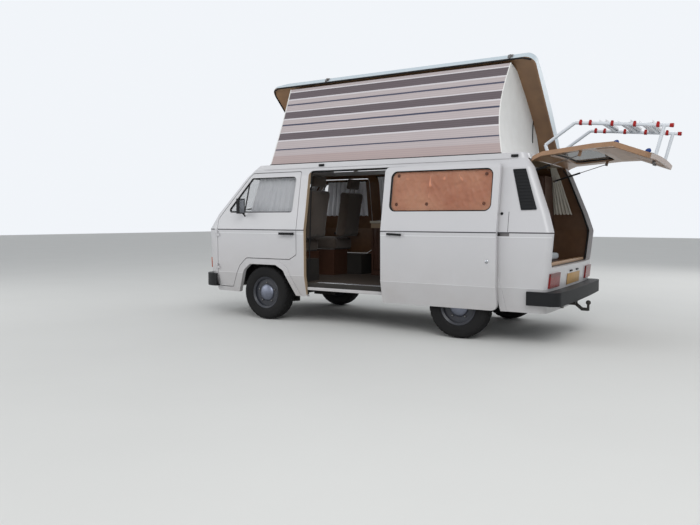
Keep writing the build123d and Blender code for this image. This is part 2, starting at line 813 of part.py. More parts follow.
# Grille between the headlamps: a frame with level bars
grille_z = (726, 934)
grille_half = 712
grille_bars = 6
with BuildPart() as front_grille:
    add(proud_layer.part)
    slab(-1200, -800, -grille_half, grille_half, *grille_z, mode=Mode.INTERSECT)
    with BuildSketch(across(-1200)) as lamp_gaps:
        with Locations((lamp_y, lamp_z), (-lamp_y, lamp_z)):
            Circle(lamp_radius + running_clearance)
    extrude(lamp_gaps.sketch, amount=400, mode=Mode.SUBTRACT)
    pitch = (grille_z[1] - grille_z[0]) / (grille_bars + 1)
    for bar in range(grille_bars + 1):
        middle = grille_z[0] + (bar + 0.5) * pitch
        slab(-1200, -800, -470, 470, middle - 7, middle + 7, mode=Mode.SUBTRACT)
keep(front_grille.part, "front_grille")

# Louvres on the rear pillars: x, z, corner radius
louvre_corners = ((3093, 1287, 6), (3242, 1292, 6), (3112, 1682, 6), (2988, 1680, 6))
louvre_border = 9
louvre_slots = 12
louvre_pitch = 31
louvre_base = 3
with BuildPart() as louvre_gaps:
    add(body_form(-flare_proud))
    add(body_form(-louvre_base), mode=Mode.SUBTRACT)
    side_shape(louvre_corners, -reach, -500, Mode.INTERSECT, grow=-louvre_border)
    for slat in range(louvre_slots):
        middle = 1315 + slat * louvre_pitch
        slab(2950, 3300, -reach, 0, middle - 8, middle + 8, mode=Mode.SUBTRACT)
with BuildPart() as louvre_plate:
    add(proud_layer.part)
    side_shape(louvre_corners, -reach, -500, Mode.INTERSECT)
    add(louvre_gaps.part, mode=Mode.SUBTRACT)
with BuildPart() as vent_louvres:
    add(louvre_plate.part)
    add(mirrored(louvre_plate.part))
keep(vent_louvres.part, "vent_louvres")

# Dashboard with the steering column
wheel_centre = (-405, 400, 1125)
column_run = (-0.6, 0, -0.8)
dash_corners = (
    (-1150, 1225, 0),
    (-620, 1215, 20),
    (-520, 1150, 30),
    (-500, 1000, 30),
    (-560, 930, 20),
    (-1150, 930, 0),
)
column_end = tuple(c + 30 * d for c, d in zip(wheel_centre, column_run))
column_foot = tuple(c + 330 * d for c, d in zip(wheel_centre, column_run))
with BuildPart() as dashboard:
    side_shape(dash_corners, -845, 845, Mode.ADD)
    add(body_inner, mode=Mode.INTERSECT)
    rod(column_foot, column_end, 26)
    rod(column_end, wheel_centre, 10)
keep(dashboard.part, "dashboard")

# Steering wheel on the column's end
with BuildPart() as steering_wheel:
    hub_centre = Vector(front_axle_x, 0, 0) + Vector(*column_end)
    hub = Plane(origin=hub_centre, x_dir=(0, 1, 0), z_dir=(0.6, 0, 0.8))
    hub = hub.offset(running_clearance)
    with BuildSketch(hub) as boss:
        Circle(42)
        Circle(10 + running_clearance, mode=Mode.SUBTRACT)
    extrude(boss.sketch, amount=28)
    with BuildSketch(hub.offset(6)) as spokes:
        Rectangle(370, 34)
        with Locations((0, -92)):
            Rectangle(34, 185)
        Circle(10 + running_clearance, mode=Mode.SUBTRACT)
    extrude(spokes.sketch, amount=12)
    with BuildSketch(Plane(origin=hub.origin, x_dir=(0, 1, 0), z_dir=hub.x_dir.cross(hub.z_dir))) as grip:
        with Locations((190, 12)):
            Circle(14)
    revolve(grip.sketch, axis=Axis(hub.origin, hub.z_dir))
keep(steering_wheel.part, "steering_wheel")

# Seats: cushion, back and head rest in one, each on its pedestal
seat_y = 400
seat_profile = (
    (-190, 802, 40),
    (330, 802, 60),
    (420, 1000, 60),
    (490, 1550, 50),
    (380, 1570, 50),
    (290, 1010, 60),
    (240, 950, 60),
    (-190, 960, 50),
)
rest_profile = (
    (405, 1575, 30),
    (475, 1575, 30),
    (500, 1720, 30),
    (430, 1725, 30),
)
with BuildPart() as cab_seats:
    for way in (-1, 1):
        side_shape(seat_profile, way * seat_y - 235, way * seat_y + 235, Mode.ADD)
        side_shape(rest_profile, way * seat_y - 130, way * seat_y + 130, Mode.ADD)
        slab(425, 455, way * seat_y - 60, way * seat_y - 45, 1540, 1580)
        slab(425, 455, way * seat_y + 45, way * seat_y + 60, 1540, 1580)
keep(cab_seats.part, "cab_seats")

# Fitted furniture along the right side and at the rear
bench_top_z = 800
bunk_top_z = deck_z + 40
with BuildPart() as furniture:
    for way in (-1, 1):
        near, far = sorted((way * 175, way * (house_inner_y - house_skin)))
        slab(-170, 300, near, far, floor_z, 802)
    slab(700, 1560, 460, 1000, floor_z, 1150)
    slab(730, 1530, 440, 480, floor_z + 60, 1120, mode=Mode.SUBTRACT)
    slab(1620, 2055, -500, 420, floor_z, bench_top_z)
    slab(2640, 2950, 440, 1000, deck_z, 1690)
    slab(2100, 3270, -600, 430, deck_z, bunk_top_z)
    add(body_inner, mode=Mode.INTERSECT)
keep(furniture.part, "furniture")

with BuildPart() as worktop:
    slab(690, 1580, 430, 1000, 1150, 1180)
    add(body_inner, mode=Mode.INTERSECT)
keep(worktop.part, "worktop")

# Cushions: front and rear edge, base and top, left and right edge, edge radius
cushion_rows = (
    (1600, 1960, bench_top_z, 910, -500, 420, 30),
    (1962, 2058, bench_top_z, 1330, -500, 420, 20),
    (2110, 3150, bunk_top_z, 840, -580, 410, 30),
)
with BuildPart() as bench_cushions:
    for x0, x1, base_z, top_z, y0, y1, r in cushion_rows:
        z0 = base_z + running_clearance
        corners = ((x0, z0, r), (x1, z0, r), (x1, top_z, r), (x0, top_z, r))
        side_shape(corners, y0, y1, Mode.ADD)
keep(bench_cushions.part, "bench_cushions")

# Curtains inside the glass, and the blind on the sliding door's pane
curtain_inset = wall + 12
curtain_thickness = 8


curtain_hem_z = 1240
blind_depth = glass_depth + glass_thickness + running_clearance
blind_thickness = 6


def curtain(x0, x1):
    """Curtain on the left side, hung from the roof rail."""
    with BuildPart() as cloth:
        add(body_form(curtain_inset))
        add(body_form(curtain_inset + curtain_thickness), mode=Mode.SUBTRACT)
        slab(x0, x1, -reach, 0, curtain_hem_z, gutter_z, mode=Mode.INTERSECT)
    return cloth.part


with BuildPart() as blind_leaf:
    add(body_form(blind_depth))
    add(body_form(blind_depth + blind_thickness), mode=Mode.SUBTRACT)
    side_shape(window_corners(middle_window), -reach, -500, Mode.INTERSECT)

with BuildPart() as window_curtains:
    add(curtain(-120, 440))
    add(mirrored(curtain(-120, 440)))
    add(curtain(1900, 2900))
    add(mirrored(curtain(640, 1840)))
    add(mirrored(curtain(1900, 2600)))
    add(slid(blind_leaf.part))
keep(window_curtains.part, "window_curtains")

# Rail and arms that carry the sliding door
with BuildPart() as door_runners:
    add(body_form(rail_slot_depth - rail_thickness))
    add(body_form(rail_slot_depth), mode=Mode.SUBTRACT)
    slab(rail_slot[0] + 1, rail_slot[1] - 1, -reach, 0, rail_slot[2], rail_slot[3], mode=Mode.INTERSECT)
    slab(2820, 2860, -960, -899, rail_slot[2] + 6, rail_slot[3] - 6)
    slab(1650, 1690, -925, -700, 395, floor_z - floor_thickness)
    slab(1650, 1690, -850, -690, 1700, 1738)
    slab(1650, 1690, -712, -690, 1700, gutter_z)
    add(sliding_door.part, mode=Mode.SUBTRACT)
keep(door_runners.part, "door_runners")

# Engine and gearbox as one plain mass, with the silencer behind
with BuildPart() as engine:
    slab(2650, 3200, -330, 330, 265, 640)
    slab(2240, 2650, -130, 130, 250, 470)
    crosswise(3235, 400, 62, -260, 260)
keep(engine.part, "engine")

# Rear axle: trailing arms, drive shafts, springs and stub axles
with BuildPart() as rear_axle:
    for way in (-1, 1):
        near, far = sorted((way * 640, way * 690))
        slab(2400, 2520, near, far, 250, 390)
        rod((1960, way * 470, 360), (2430, way * 665, tyre_radius), 34)
        near, far = sorted((way * 520, way * 372))
        slab(1930, 1990, near, far, 330, floor_z - floor_thickness)
        near, far = sorted((way * 130, way * 640))
        crosswise(rear_axle_x, tyre_radius, 22, near, far)
        near, far = sorted((way * 690, way * (wheel_y + 58)))
        crosswise(rear_axle_x, tyre_radius, stub_radius, near, far)
        upright(2330, way * 590, 52, 345, deck_z - 30)
keep(rear_axle.part, "rear_axle")

# Front axle: beam, wishbones with eyes about the kingpins, and spring struts
ball_stud_radius = 12
upright_low_z = 205
upright_high_z = 395
arm_depth = 22
with BuildPart() as front_axle:
    slab(-70, 70, -430, 430, 250, 345)
    for way in (-1, 1):
        for z in (upright_low_z - arm_depth, upright_high_z):
            with BuildSketch(level(z)) as arm:
                with BuildLine():
                    root_y, tip_y = way * 400, way * kingpin_y
                    Polyline((-150, root_y), (150, root_y), (26, tip_y), (-26, tip_y), close=True)
                make_face()
                with Locations((0, way * kingpin_y)):
                    Circle(27)
                    Circle(ball_stud_radius + running_clearance, mode=Mode.SUBTRACT)
            extrude(arm.sketch, amount=arm_depth - running_clearance)
        near, far = sorted((way * 372, way * 430))
        slab(-150, 150, near, far, upright_low_z - arm_depth, upright_high_z + arm_depth - running_clearance)
        upright(0, way * 575, 44, upright_low_z - running_clearance, upright_high_z)
        upright(0, way * 575, 30, upright_high_z, deck_z)
keep(front_axle.part, "front_axle")

# Knuckles, which turn about the kingpins
for name, way in (("left_knuckle", -1), ("right_knuckle", 1)):
    with BuildPart() as knuckle:
        near, far = sorted((way * (kingpin_y - 16), way * (kingpin_y + 14)))
        slab(-28, 28, near, far, upright_low_z, upright_high_z - running_clearance)
        low, high = upright_low_z - arm_depth, upright_high_z + arm_depth - 1
        upright(0, way * kingpin_y, ball_stud_radius, low, high)
        near, far = sorted((way * kingpin_y, way * (wheel_y + 58)))
        crosswise(0, tyre_radius, stub_radius, near, far)
    keep(knuckle.part, name)


def wheel_section(points):
    """Closed half section of the wheel: local x along the axle, outwards, and local y the radius."""
    with BuildLine() as edge:
        Polyline(*points, close=True)
    make_face(edge.line)


# Wheels: steel rim with hub, and the tyre on its beads
tyre_profile = (
    (-60, rim_radius), (-76, 190), (-92.5, 240), (-88, 290), (-70, 314), (-40, tyre_radius),
    (40, tyre_radius), (70, 314), (88, 290), (92.5, 240), (76, 190), (60, rim_radius),
)
hub_bore = stub_radius + running_clearance
rim_profile = (
    (-20, hub_bore), (-20, 62), (wheel_offset - 14, 62), (wheel_offset - 14, 100), (18, 158), (10, 166),
    (-64, 166), (-80, 186), (-76, 190), (-60, rim_radius),
    (60, rim_radius), (76, 190), (80, 186), (64, 166), (42, 166),
    (wheel_offset + 6, 100), (wheel_offset + 6, 40), (wheel_offset + 22, 36), (wheel_offset + 22, hub_bore),
)
for name, axle, way in (
    ("front_left", 0, -1),
    ("front_right", 0, 1),
    ("rear_left", rear_axle_x, -1),
    ("rear_right", rear_axle_x, 1),
):
    centre = Vector(front_axle_x + axle, way * wheel_y, tyre_radius)
    half_plane = Plane(origin=centre, x_dir=(0, way, 0), z_dir=(way, 0, 0))
    spin = Axis(centre, (0, 1, 0))
    with BuildPart() as tyre:
        with BuildSketch(half_plane) as tyre_face:
            wheel_section(tyre_profile)
        revolve(tyre_face.sketch, axis=spin)
    keep(tyre.part, f"{name}_tyre")
    with BuildPart() as rim:
        with BuildSketch(half_plane) as rim_face:
            wheel_section(rim_profile)
        revolve(rim_face.sketch, axis=spin)
    keep(rim.part, f"{name}_rim")

# Gas struts between the body and the tailgate
open_pin_x, open_pin_z = swung(strut_gate_x, strut_gate_z)
strut_length = hypot(open_pin_x - strut_body_x, open_pin_z - strut_body_z)
strut_run = ((open_pin_x - strut_body_x) / strut_length, (open_pin_z - strut_body_z) / strut_length)
barrel_length = 300


def along_strut(distance, y):
    return (strut_body_x + distance * strut_run[0], y, strut_body_z + distance * strut_run[1])


for name, way in (("left", -1), ("right", 1)):
    y = way * strut_y
    near, far = sorted((way * (strut_y - strut_eye_half), way * (strut_y + strut_eye_half)))
    eye_bore = strut_pin_radius + running_clearance
    with BuildPart() as barrel:
        crosswise(strut_body_x, strut_body_z, strut_eye_radius, near, far)
        rod(along_strut(8, y), along_strut(barrel_length, y), 10)
        crosswise(strut_body_x, strut_body_z, eye_bore, near, far, Mode.SUBTRACT)
        rod(along_strut(22, y), along_strut(barrel_length, y), 4 + running_clearance, Mode.SUBTRACT)
    keep(barrel.part, f"{name}_strut_barrel")
    with BuildPart() as piston_rod:
        crosswise(open_pin_x, open_pin_z, strut_eye_radius, near, far)
        rod(along_strut(barrel_length - 25, y), along_strut(strut_length - 8, y), 4)
        crosswise(open_pin_x, open_pin_z, eye_bore, near, far, Mode.SUBTRACT)
    keep(piston_rod.part, f"{name}_strut_rod")
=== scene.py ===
from math import atan2, cos, exp, pi, radians, sin

import bmesh
import bpy
from mathutils import Matrix, Vector, noise


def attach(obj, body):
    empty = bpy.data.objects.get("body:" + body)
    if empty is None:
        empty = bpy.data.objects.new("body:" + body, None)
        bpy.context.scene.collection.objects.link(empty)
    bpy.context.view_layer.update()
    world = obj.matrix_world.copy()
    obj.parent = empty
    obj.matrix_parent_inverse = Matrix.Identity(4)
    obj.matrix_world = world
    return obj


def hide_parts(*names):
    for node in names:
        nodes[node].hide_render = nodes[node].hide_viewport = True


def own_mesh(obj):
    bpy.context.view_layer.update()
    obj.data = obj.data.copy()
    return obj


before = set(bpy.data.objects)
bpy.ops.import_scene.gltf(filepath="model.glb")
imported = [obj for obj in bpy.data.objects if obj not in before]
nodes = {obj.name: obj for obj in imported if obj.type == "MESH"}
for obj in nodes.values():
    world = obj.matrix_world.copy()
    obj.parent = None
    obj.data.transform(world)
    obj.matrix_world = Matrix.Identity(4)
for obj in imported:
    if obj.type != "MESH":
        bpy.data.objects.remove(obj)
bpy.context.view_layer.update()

# Camper van with its roof raised: lengths along the van are taken from the front axle, in metres.
axle_x = -1.640
wheelbase = 2.460
belt_z = 1.078                # height at which the body is widest
tail_lean = (0.362, -0.085)   # how far the tail runs forward per metre of height, above and below the belt
tail_rim_x = axle_x + 3.352   # where the paint ends inside the tail's opening, at the belt


def colour(hex_value):
    """Linear colour from an sRGB hex value."""
    parts = [int(hex_value[i:i + 2], 16) / 255 for i in (1, 3, 5)]
    return (*[c / 12.92 if c <= 0.04045 else ((c + 0.055) / 1.055) ** 2.4 for c in parts], 1)


def add_node(tree, kind, inputs=None, feeds=None, **settings):
    """One node with its settings: each input takes a value or a socket, and feeds takes its first output."""
    node = tree.nodes.new(kind)
    for name, value in settings.items():
        setattr(node, name, value)
    for name, value in (inputs or {}).items():
        if isinstance(value, bpy.types.NodeSocket):
            tree.links.new(value, node.inputs[name])
        else:
            node.inputs[name].default_value = value
    if feeds:
        tree.links.new(node.outputs[0], feeds)
    return node


def start_material(name, slot=None, **shader_values):
    """A Principled material, and the place on the object that its patterns read. slot is not used."""
    material = bpy.data.materials.new(name)
    material.use_nodes = True
    tree = material.node_tree
    shader = tree.nodes["Principled BSDF"]
    for socket, value in shader_values.items():
        shader.inputs[socket.replace("_", " ")].default_value = value
    return material, tree, shader, add_node(tree, "ShaderNodeTexCoord").outputs["Object"]


def mottled(tree, place, first, second, scale):
    """Slow change between two tones over a surface."""
    clouds = add_node(tree, "ShaderNodeTexNoise", {"Vector": place, "Scale": scale, "Detail": 5.0})
    return add_node(tree, "ShaderNodeMix", {0: clouds.outputs["Fac"], 6: colour(first), 7: colour(second)},
                    data_type="RGBA").outputs[2]


def pressed_in(tree, shader, height, strength, depth):
    """A pattern's height pressed into the surface, to a depth in metres."""
    add_node(tree, "ShaderNodeBump", {"Height": height, "Strength": strength, "Distance": depth},
             feeds=shader.inputs["Normal"])


def lined_on(tree, direction, outer, lining, sharp):
    """The lining's tone on faces that look along a direction of the piece, and the outer tone elsewhere."""
    facing = add_node(tree, "ShaderNodeTexCoord").outputs["Normal"]
    looks = add_node(tree, "ShaderNodeVectorMath", {0: facing, 1: direction}, operation="DOT_PRODUCT")
    faces = add_node(tree, "ShaderNodeMath", {0: looks.outputs["Value"], 1: sharp}, operation="GREATER_THAN")
    return add_node(tree, "ShaderNodeMix", {0: faces.outputs[0], 6: outer, 7: lining}, data_type="RGBA").outputs[2]


def painted_rim(tree, place, paint, lining):
    """The paint's tone on the last few centimetres before the tail, which slopes two ways from the belt."""
    parts = add_node(tree, "ShaderNodeSeparateXYZ", {"Vector": place})
    above = add_node(tree, "ShaderNodeMath", {0: parts.outputs["Z"], 1: belt_z}, operation="SUBTRACT")
    ends = []
    for slope in tail_lean:
        lean = add_node(tree, "ShaderNodeMath", {0: above.outputs[0], 1: slope}, operation="MULTIPLY")
        ends.append(add_node(tree, "ShaderNodeMath", {0: parts.outputs["X"], 1: lean.outputs[0]}, operation="ADD"))
    reach = add_node(tree, "ShaderNodeMath", {0: ends[0].outputs[0], 1: ends[1].outputs[0]}, operation="MAXIMUM")
    past = add_node(tree, "ShaderNodeMath", {0: reach.outputs[0], 1: tail_rim_x}, operation="GREATER_THAN")
    return add_node(tree, "ShaderNodeMix", {0: past.outputs[0], 6: lining, 7: paint}, data_type="RGBA").outputs[2]


def patchy(name, slot, first, second, patch, grain=None, lining=None, **shader_values):
    """Finish that drifts between two tones in patches. grain is the texture pressed into it, with that texture's
    inputs, strength and depth; lining is the way that lined faces look, with their two tones, patches and limit."""
    material, tree, shader, place = start_material(name, slot, **shader_values)
    tone = mottled(tree, place, first, second, patch)
    if lining:
        direction, board, board_dark, scale, sharp = lining
        tone = lined_on(tree, direction, tone, mottled(tree, place, board, board_dark, scale), sharp)
    tree.links.new(tone, shader.inputs["Base Color"])
    if grain:
        kind, inputs, strength, depth = grain
        texture = add_node(tree, kind, {"Vector": place, **inputs})
        pressed_in(tree, shader, texture.outputs.get("Fac") or texture.outputs["Distance"], strength, depth)
    return material


def sprayed_enamel(name, slot=None, lining=None, board="#6E5038", board_dark="#543A28", paint="#C9C8CA", sharp=0.6,
                   rim=False):
    """Synthetic enamel sprayed on pressed steel: an even gloss with a slight orange peel of 6 mm, faded in
    broad patches, with road dirt towards the sill and hardboard trim on the faces inside."""
    material, tree, shader, place = start_material(name, slot, Roughness=0.32, Coat_Weight=0.25, Coat_Roughness=0.12)
    height = add_node(tree, "ShaderNodeSeparateXYZ", {"Vector": place})
    low = add_node(tree, "ShaderNodeMapRange", {"Value": height.outputs["Z"], "From Min": 0.28, "From Max": 1.0,
                                                "To Min": 0.6, "To Max": 0.0})
    smears = add_node(tree, "ShaderNodeTexNoise", {"Vector": place, "Scale": 3.5, "Detail": 8.0, "Roughness": 0.62})
    film = add_node(tree, "ShaderNodeMath", {0: low.outputs[0], 1: smears.outputs["Fac"]}, operation="MULTIPLY")
    faded = add_node(tree, "ShaderNodeTexNoise", {"Vector": place, "Scale": 0.9, "Detail": 3.0})
    patch = add_node(tree, "ShaderNodeMapRange", {"Value": faded.outputs["Fac"], "From Min": 0.4, "From Max": 0.7,
                                                  "To Min": 0.0, "To Max": 0.35})
    tone = colour(paint)
    for share, dulled in ((film, "#97897D"), (patch, "#BFC1C4")):
        tone = add_node(tree, "ShaderNodeMix", {0: share.outputs[0], 6: tone, 7: colour(dulled)},
                        data_type="RGBA").outputs[2]
    if lining:
        trim = mottled(tree, place, board, board_dark, 14.0)
        if rim:
            trim = painted_rim(tree, place, tone, trim)
        tone = lined_on(tree, lining, tone, trim, sharp)
    tree.links.new(tone, shader.inputs["Base Color"])
    add_node(tree, "ShaderNodeMapRange", {"Value": smears.outputs["Fac"], "To Min": 0.24, "To Max": 0.42},
             feeds=shader.inputs["Roughness"])
    peel = add_node(tree, "ShaderNodeTexNoise", {"Vector": place, "Scale": 160.0})
    pressed_in(tree, shader, peel.outputs["Fac"], 0.05, 0.002)
    return material


def safety_glass(name, alpha, tint="#27302F"):
    """Toughened float glass, faintly green, with a haze of dust: mirror-smooth and mostly seen through."""
    material, tree, shader, place = start_material(name, Roughness=0.03, IOR=1.5, Alpha=alpha, Base_Color=colour(tint))
    dust = add_node(tree, "ShaderNodeTexNoise", {"Vector": place, "Scale": 7.0, "Detail": 8.0})
    add_node(tree, "ShaderNodeMapRange", {"Value": dust.outputs["Fac"], "To Min": 0.01, "To Max": 0.09},
             feeds=shader.inputs["Roughness"])
    return material


def moulded_rubber(name, first="#141415", second="#232324", grain=220.0, rough=0.62):
    """Extruded or moulded rubber: near black with a grey bloom and a skin grain drawn at 5 mm."""
    return patchy(name, "black_plastic", first, second, 6.0,
                  ("ShaderNodeTexNoise", {"Scale": grain, "Detail": 3.0}, 0.2, 0.001),
                  Roughness=rough, Specular_IOR_Level=0.2)


def grained_plastic(name, first="#101113", second="#1B1C1E", slot="black_plastic"):
    """Injection-moulded polypropylene with a leather grain drawn at 4 mm, faded in patches by the sun."""
    return patchy(name, slot, first, second, 4.0, ("ShaderNodeTexVoronoi", {"Scale": 260.0}, 0.12, 0.001),
                  Roughness=0.6, IOR=1.49, Specular_IOR_Level=0.25)


def plated_steel(name, first="#8C8C8E", second="#6E6862", rough=0.38):
    """Zinc-plated or chromed steel: dull grey metal with a fine speckle drawn at 3 mm, browner where it has aged."""
    return patchy(name, "steel", first, second, 18.0, ("ShaderNodeTexNoise", {"Scale": 300.0}, 0.12, 0.0005),
                  Metallic=1.0, Roughness=rough)


def printed_laminate(name, first, second, slot="cabinet_wood"):
    """Melamine laminate pressed on chipboard: satin, with a printed fleck of about 10 mm."""
    return patchy(name, slot, first, second, 90.0, Roughness=0.35)


def wood_veneer(name, first="#573A2D", second="#3B261C", lengthwise=(1.0, 1.0, 7.0), rough=0.4):
    """Lacquered veneer on plywood: straight grain about 8 mm apart, drawn out along one way of the piece."""
    material, tree, shader, place = start_material(name, "cabinet_wood", Roughness=rough, Coat_Weight=0.2)
    drawn_out = add_node(tree, "ShaderNodeMapping", {"Vector": place, "Scale": lengthwise})
    grain = add_node(tree, "ShaderNodeTexNoise", {"Vector": drawn_out.outputs[0], "Scale": 12.0, "Detail": 9.0,
                                                  "Distortion": 0.8})
    tone = add_node(tree, "ShaderNodeMix", {0: grain.outputs["Fac"], 6: colour(first), 7: colour(second)},
                    data_type="RGBA")
    tree.links.new(tone.outputs[2], shader.inputs["Base Color"])
    pressed_in(tree, shader, grain.outputs["Fac"], 0.1, 0.001)
    return material


def ribbed_lens(name, low_tone, high_tone, edge_z):
    """Moulded acrylic lens: glossy colour, paler above edge_z, over level prisms drawn 12 mm apart."""
    material, tree, shader, place = start_material(name, "lamp_glass", Roughness=0.25, Specular_IOR_Level=0.3)
    height = add_node(tree, "ShaderNodeSeparateXYZ", {"Vector": place})
    upper = add_node(tree, "ShaderNodeMath", {0: height.outputs["Z"], 1: edge_z}, operation="GREATER_THAN")
    tone = add_node(tree, "ShaderNodeMix", {0: upper.outputs[0], 6: colour(low_tone), 7: colour(high_tone)},
                    data_type="RGBA")
    tree.links.new(tone.outputs[2], shader.inputs["Base Color"])
    prisms = add_node(tree, "ShaderNodeTexWave", {"Vector": place, "Scale": 26.0}, bands_direction="Z")
    pressed_in(tree, shader, prisms.outputs["Fac"], 0.15, 0.001)
    return material


def crossed_threads(tree, shader, place, scale, ways, strength):
    """Warp and weft that cross in a fine check, pressed into the cloth."""
    threads = [add_node(tree, "ShaderNodeTexWave", {"Vector": place, "Scale": scale}, bands_direction=way)
               for way in ways]
    cross = add_node(tree, "ShaderNodeMath", {0: threads[0].outputs["Fac"], 1: threads[1].outputs["Fac"]},
                     operation="MULTIPLY")
    pressed_in(tree, shader, cross.outputs[0], strength, 0.001)


def woven_cloth(name, slot, first, second, thread=0.004, rough=0.85, sheen=0.3, alpha=1.0, patch=8.0):
    """Plain-woven cloth: threads are drawn at 4 mm or more so that they show."""
    material, tree, shader, place = start_material(name, slot, Roughness=rough, Sheen_Weight=sheen, Alpha=alpha)
    tree.links.new(mottled(tree, place, first, second, patch), shader.inputs["Base Color"])
    crossed_threads(tree, shader, place, 0.5 / thread / pi, "XZ", 0.3)
    return material


def striped_canvas(name, bands):
    """Woven cotton canvas with dyed stripes: each band starts at a height up the cloth, in metres,
    and the stripes read the cloth's own UV map so that they fold away with it. Thread drawn at 5 mm."""
    material, tree, shader, place = start_material(name, "canvas", Roughness=0.9, Sheen_Weight=0.2)
    cloth = add_node(tree, "ShaderNodeUVMap", uv_map="cloth").outputs["UV"]
    along = add_node(tree, "ShaderNodeSeparateXYZ", {"Vector": cloth})
    top = bands[-1][0]
    share = add_node(tree, "ShaderNodeMath", {0: along.outputs["Y"], 1: 1 / top}, operation="MULTIPLY")
    ramp = add_node(tree, "ShaderNodeValToRGB", {"Fac": share.outputs[0]})
    ramp.color_ramp.interpolation = "CONSTANT"
    stops = ramp.color_ramp.elements
    while len(stops) < len(bands) - 1:
        stops.new(0.5)
    for stop, (start, tone) in zip(stops, bands[:-1]):
        stop.position = start / top
        stop.color = colour(tone)
    hatch = add_node(tree, "ShaderNodeTexWave", {"Vector": cloth, "Scale": 13.0, "Distortion": 0.6},
                     bands_direction="Y")
    faint = add_node(tree, "ShaderNodeMath", {0: hatch.outputs["Fac"], 1: 0.2}, operation="MULTIPLY")
    stain = add_node(tree, "ShaderNodeTexNoise", {"Vector": place, "Scale": 2.6, "Detail": 6.0})
    soft = add_node(tree, "ShaderNodeMapRange", {"Value": stain.outputs["Fac"], "To Min": 0.0, "To Max": 0.18})
    tone = ramp.outputs["Color"]
    for share, dulled in ((faint, "#84797F"), (soft, "#8D8388")):
        tone = add_node(tree, "ShaderNodeMix", {0: share.outputs[0], 6: tone, 7: colour(dulled)},
                        data_type="RGBA").outputs[2]
    tree.links.new(tone, shader.inputs["Base Color"])
    crossed_threads(tree, shader, cloth, 32.0, "XY", 0.25)
    return material


enamel_left = sprayed_enamel("enamel_left_side", lining=(0, 1, 0), rim=True)
enamel_right = sprayed_enamel("enamel_right_side", lining=(0, -1, 0), rim=True)
enamel_gate = sprayed_enamel("enamel_tailgate", lining=(-0.14, 0, -0.99), board="#A37D5D", board_dark="#86664B",
                              sharp=-0.45)
enamel_roof = sprayed_enamel("enamel_roof", lining=(0, 0, -1), board="#8D7B66", board_dark="#75644F")
enamel_plain = sprayed_enamel("enamel_plain", "body_paint")
# Paler enamel for strips along the pressed lines: a painted highlight, where the creases catch the light
crease_highlight_paint = sprayed_enamel("enamel_pressed_line_highlights", "body_paint", paint="#E4E4E6")
rack_coating = sprayed_enamel("rack_powder_coat", paint="#D9DEE3")
# Gelcoat on hand-laid glass fibre: blue-white and chalked in soft patches, with tan board as its lining below
roof_gelcoat = patchy("gelcoat_roof", None, "#CFDAE0", "#B9C7CF", 2.4,
                      ("ShaderNodeTexNoise", {"Scale": 45.0}, 0.08, 0.003),
                      ((0, -0.66, -0.7513), "#A07B58", "#7D5F47", 9.0, 0.35),
                      Roughness=0.45, Coat_Weight=0.15, Coat_Roughness=0.3)
side_glass = safety_glass("side_glass", 0.16)
gate_glass = safety_glass("gate_glass", 0.86, tint="#2A3233")
window_rubber = moulded_rubber("epdm_window_rubber")
tyre_compound = moulded_rubber("tyre_rubber", "#131314", "#201F1F", grain=150.0, rough=0.75)
# Grey-black rubber for the belt strips: painted shade, drawn where the belt's crease falls into shadow
belt_shade_rubber = moulded_rubber("belt_strip_rubber", "#47474B", "#58585B")
cup_vinyl = moulded_rubber("suction_cup_vinyl", "#8A5540", "#6E4434", rough=0.4)
black_plastic = grained_plastic("moulded_black_plastic")
white_plastic = grained_plastic("moulded_white_plastic", "#F2F3F4", "#E4E5E7", "rack_paint")
red_plastic = grained_plastic("moulded_red_plastic", "#B0211E", "#8C1F1C", "rack_paint")
blue_plastic = grained_plastic("moulded_blue_plastic", "#1D3F86", "#1A3468", "rack_paint")
zinc_steel = plated_steel("zinc_plated_steel")
bright_steel = plated_steel("chromed_steel", "#B9BCC0", "#98999B", rough=0.2)
dome_steel = plated_steel("hub_cap_steel", "#888D9C", "#6A6D78", rough=0.42)
# Stove enamel on a pressed steel wheel: dark blue-grey, with patches of brown brake dust and grit of 8 mm
wheel_enamel = patchy("wheel_enamel", None, "#30343E", "#292729", 9.0,
                      ("ShaderNodeTexNoise", {"Scale": 120.0}, 0.15, 0.001), Roughness=0.45, Coat_Weight=0.1)
# Brushed-on bitumen coat under the floor, matt with lumps of about 15 mm, and dark sheet vinyl above
coat_lumps = ("ShaderNodeTexNoise", {"Scale": 70.0, "Detail": 4.0}, 0.35, 0.003)
bitumen_coat = patchy("underbody_coat", None, "#1D1C1B", "#38342F", 5.0, coat_lumps, Roughness=0.8)
floor_vinyl = patchy("floor_vinyl_on_coat", None, "#1D1C1B", "#38342F", 5.0, coat_lumps,
                     ((0, 0, 1), "#4C4138", "#3B322B", 26.0, 0.6), Roughness=0.8)
# Sand-cast aluminium alloy: matt grey with oily stains and a sand texture drawn at 5 mm
sand_cast = patchy("cast_alloy", None, "#77787A", "#3A3733", 7.0,
                   ("ShaderNodeTexNoise", {"Scale": 180.0, "Detail": 5.0}, 0.4, 0.002), Metallic=0.8, Roughness=0.6)
teak_veneer = wood_veneer("teak_veneer")
pale_ply = wood_veneer("pale_ply_edge", "#B8926A", "#96734F", lengthwise=(1.0, 0.14, 1.0), rough=0.5)
flecked_laminate = printed_laminate("worktop_laminate", "#CFC9BC", "#BDB6A8")
cream_board = printed_laminate("cream_board", "#B9A48A", "#A58F76")
tan_board = printed_laminate("tan_board", "#A07B5B", "#8B6A4E", "upholstery")
red_lens = ribbed_lens("tail_lamp_lens", "#7A1110", "#641A14", 0.655)
clear_lens = ribbed_lens("head_lamp_lens", "#C7D0D3", "#D8DEE0", 0.83)
amber_lens = ribbed_lens("indicator_lens", "#B4481B", "#C05A22", 0.66)
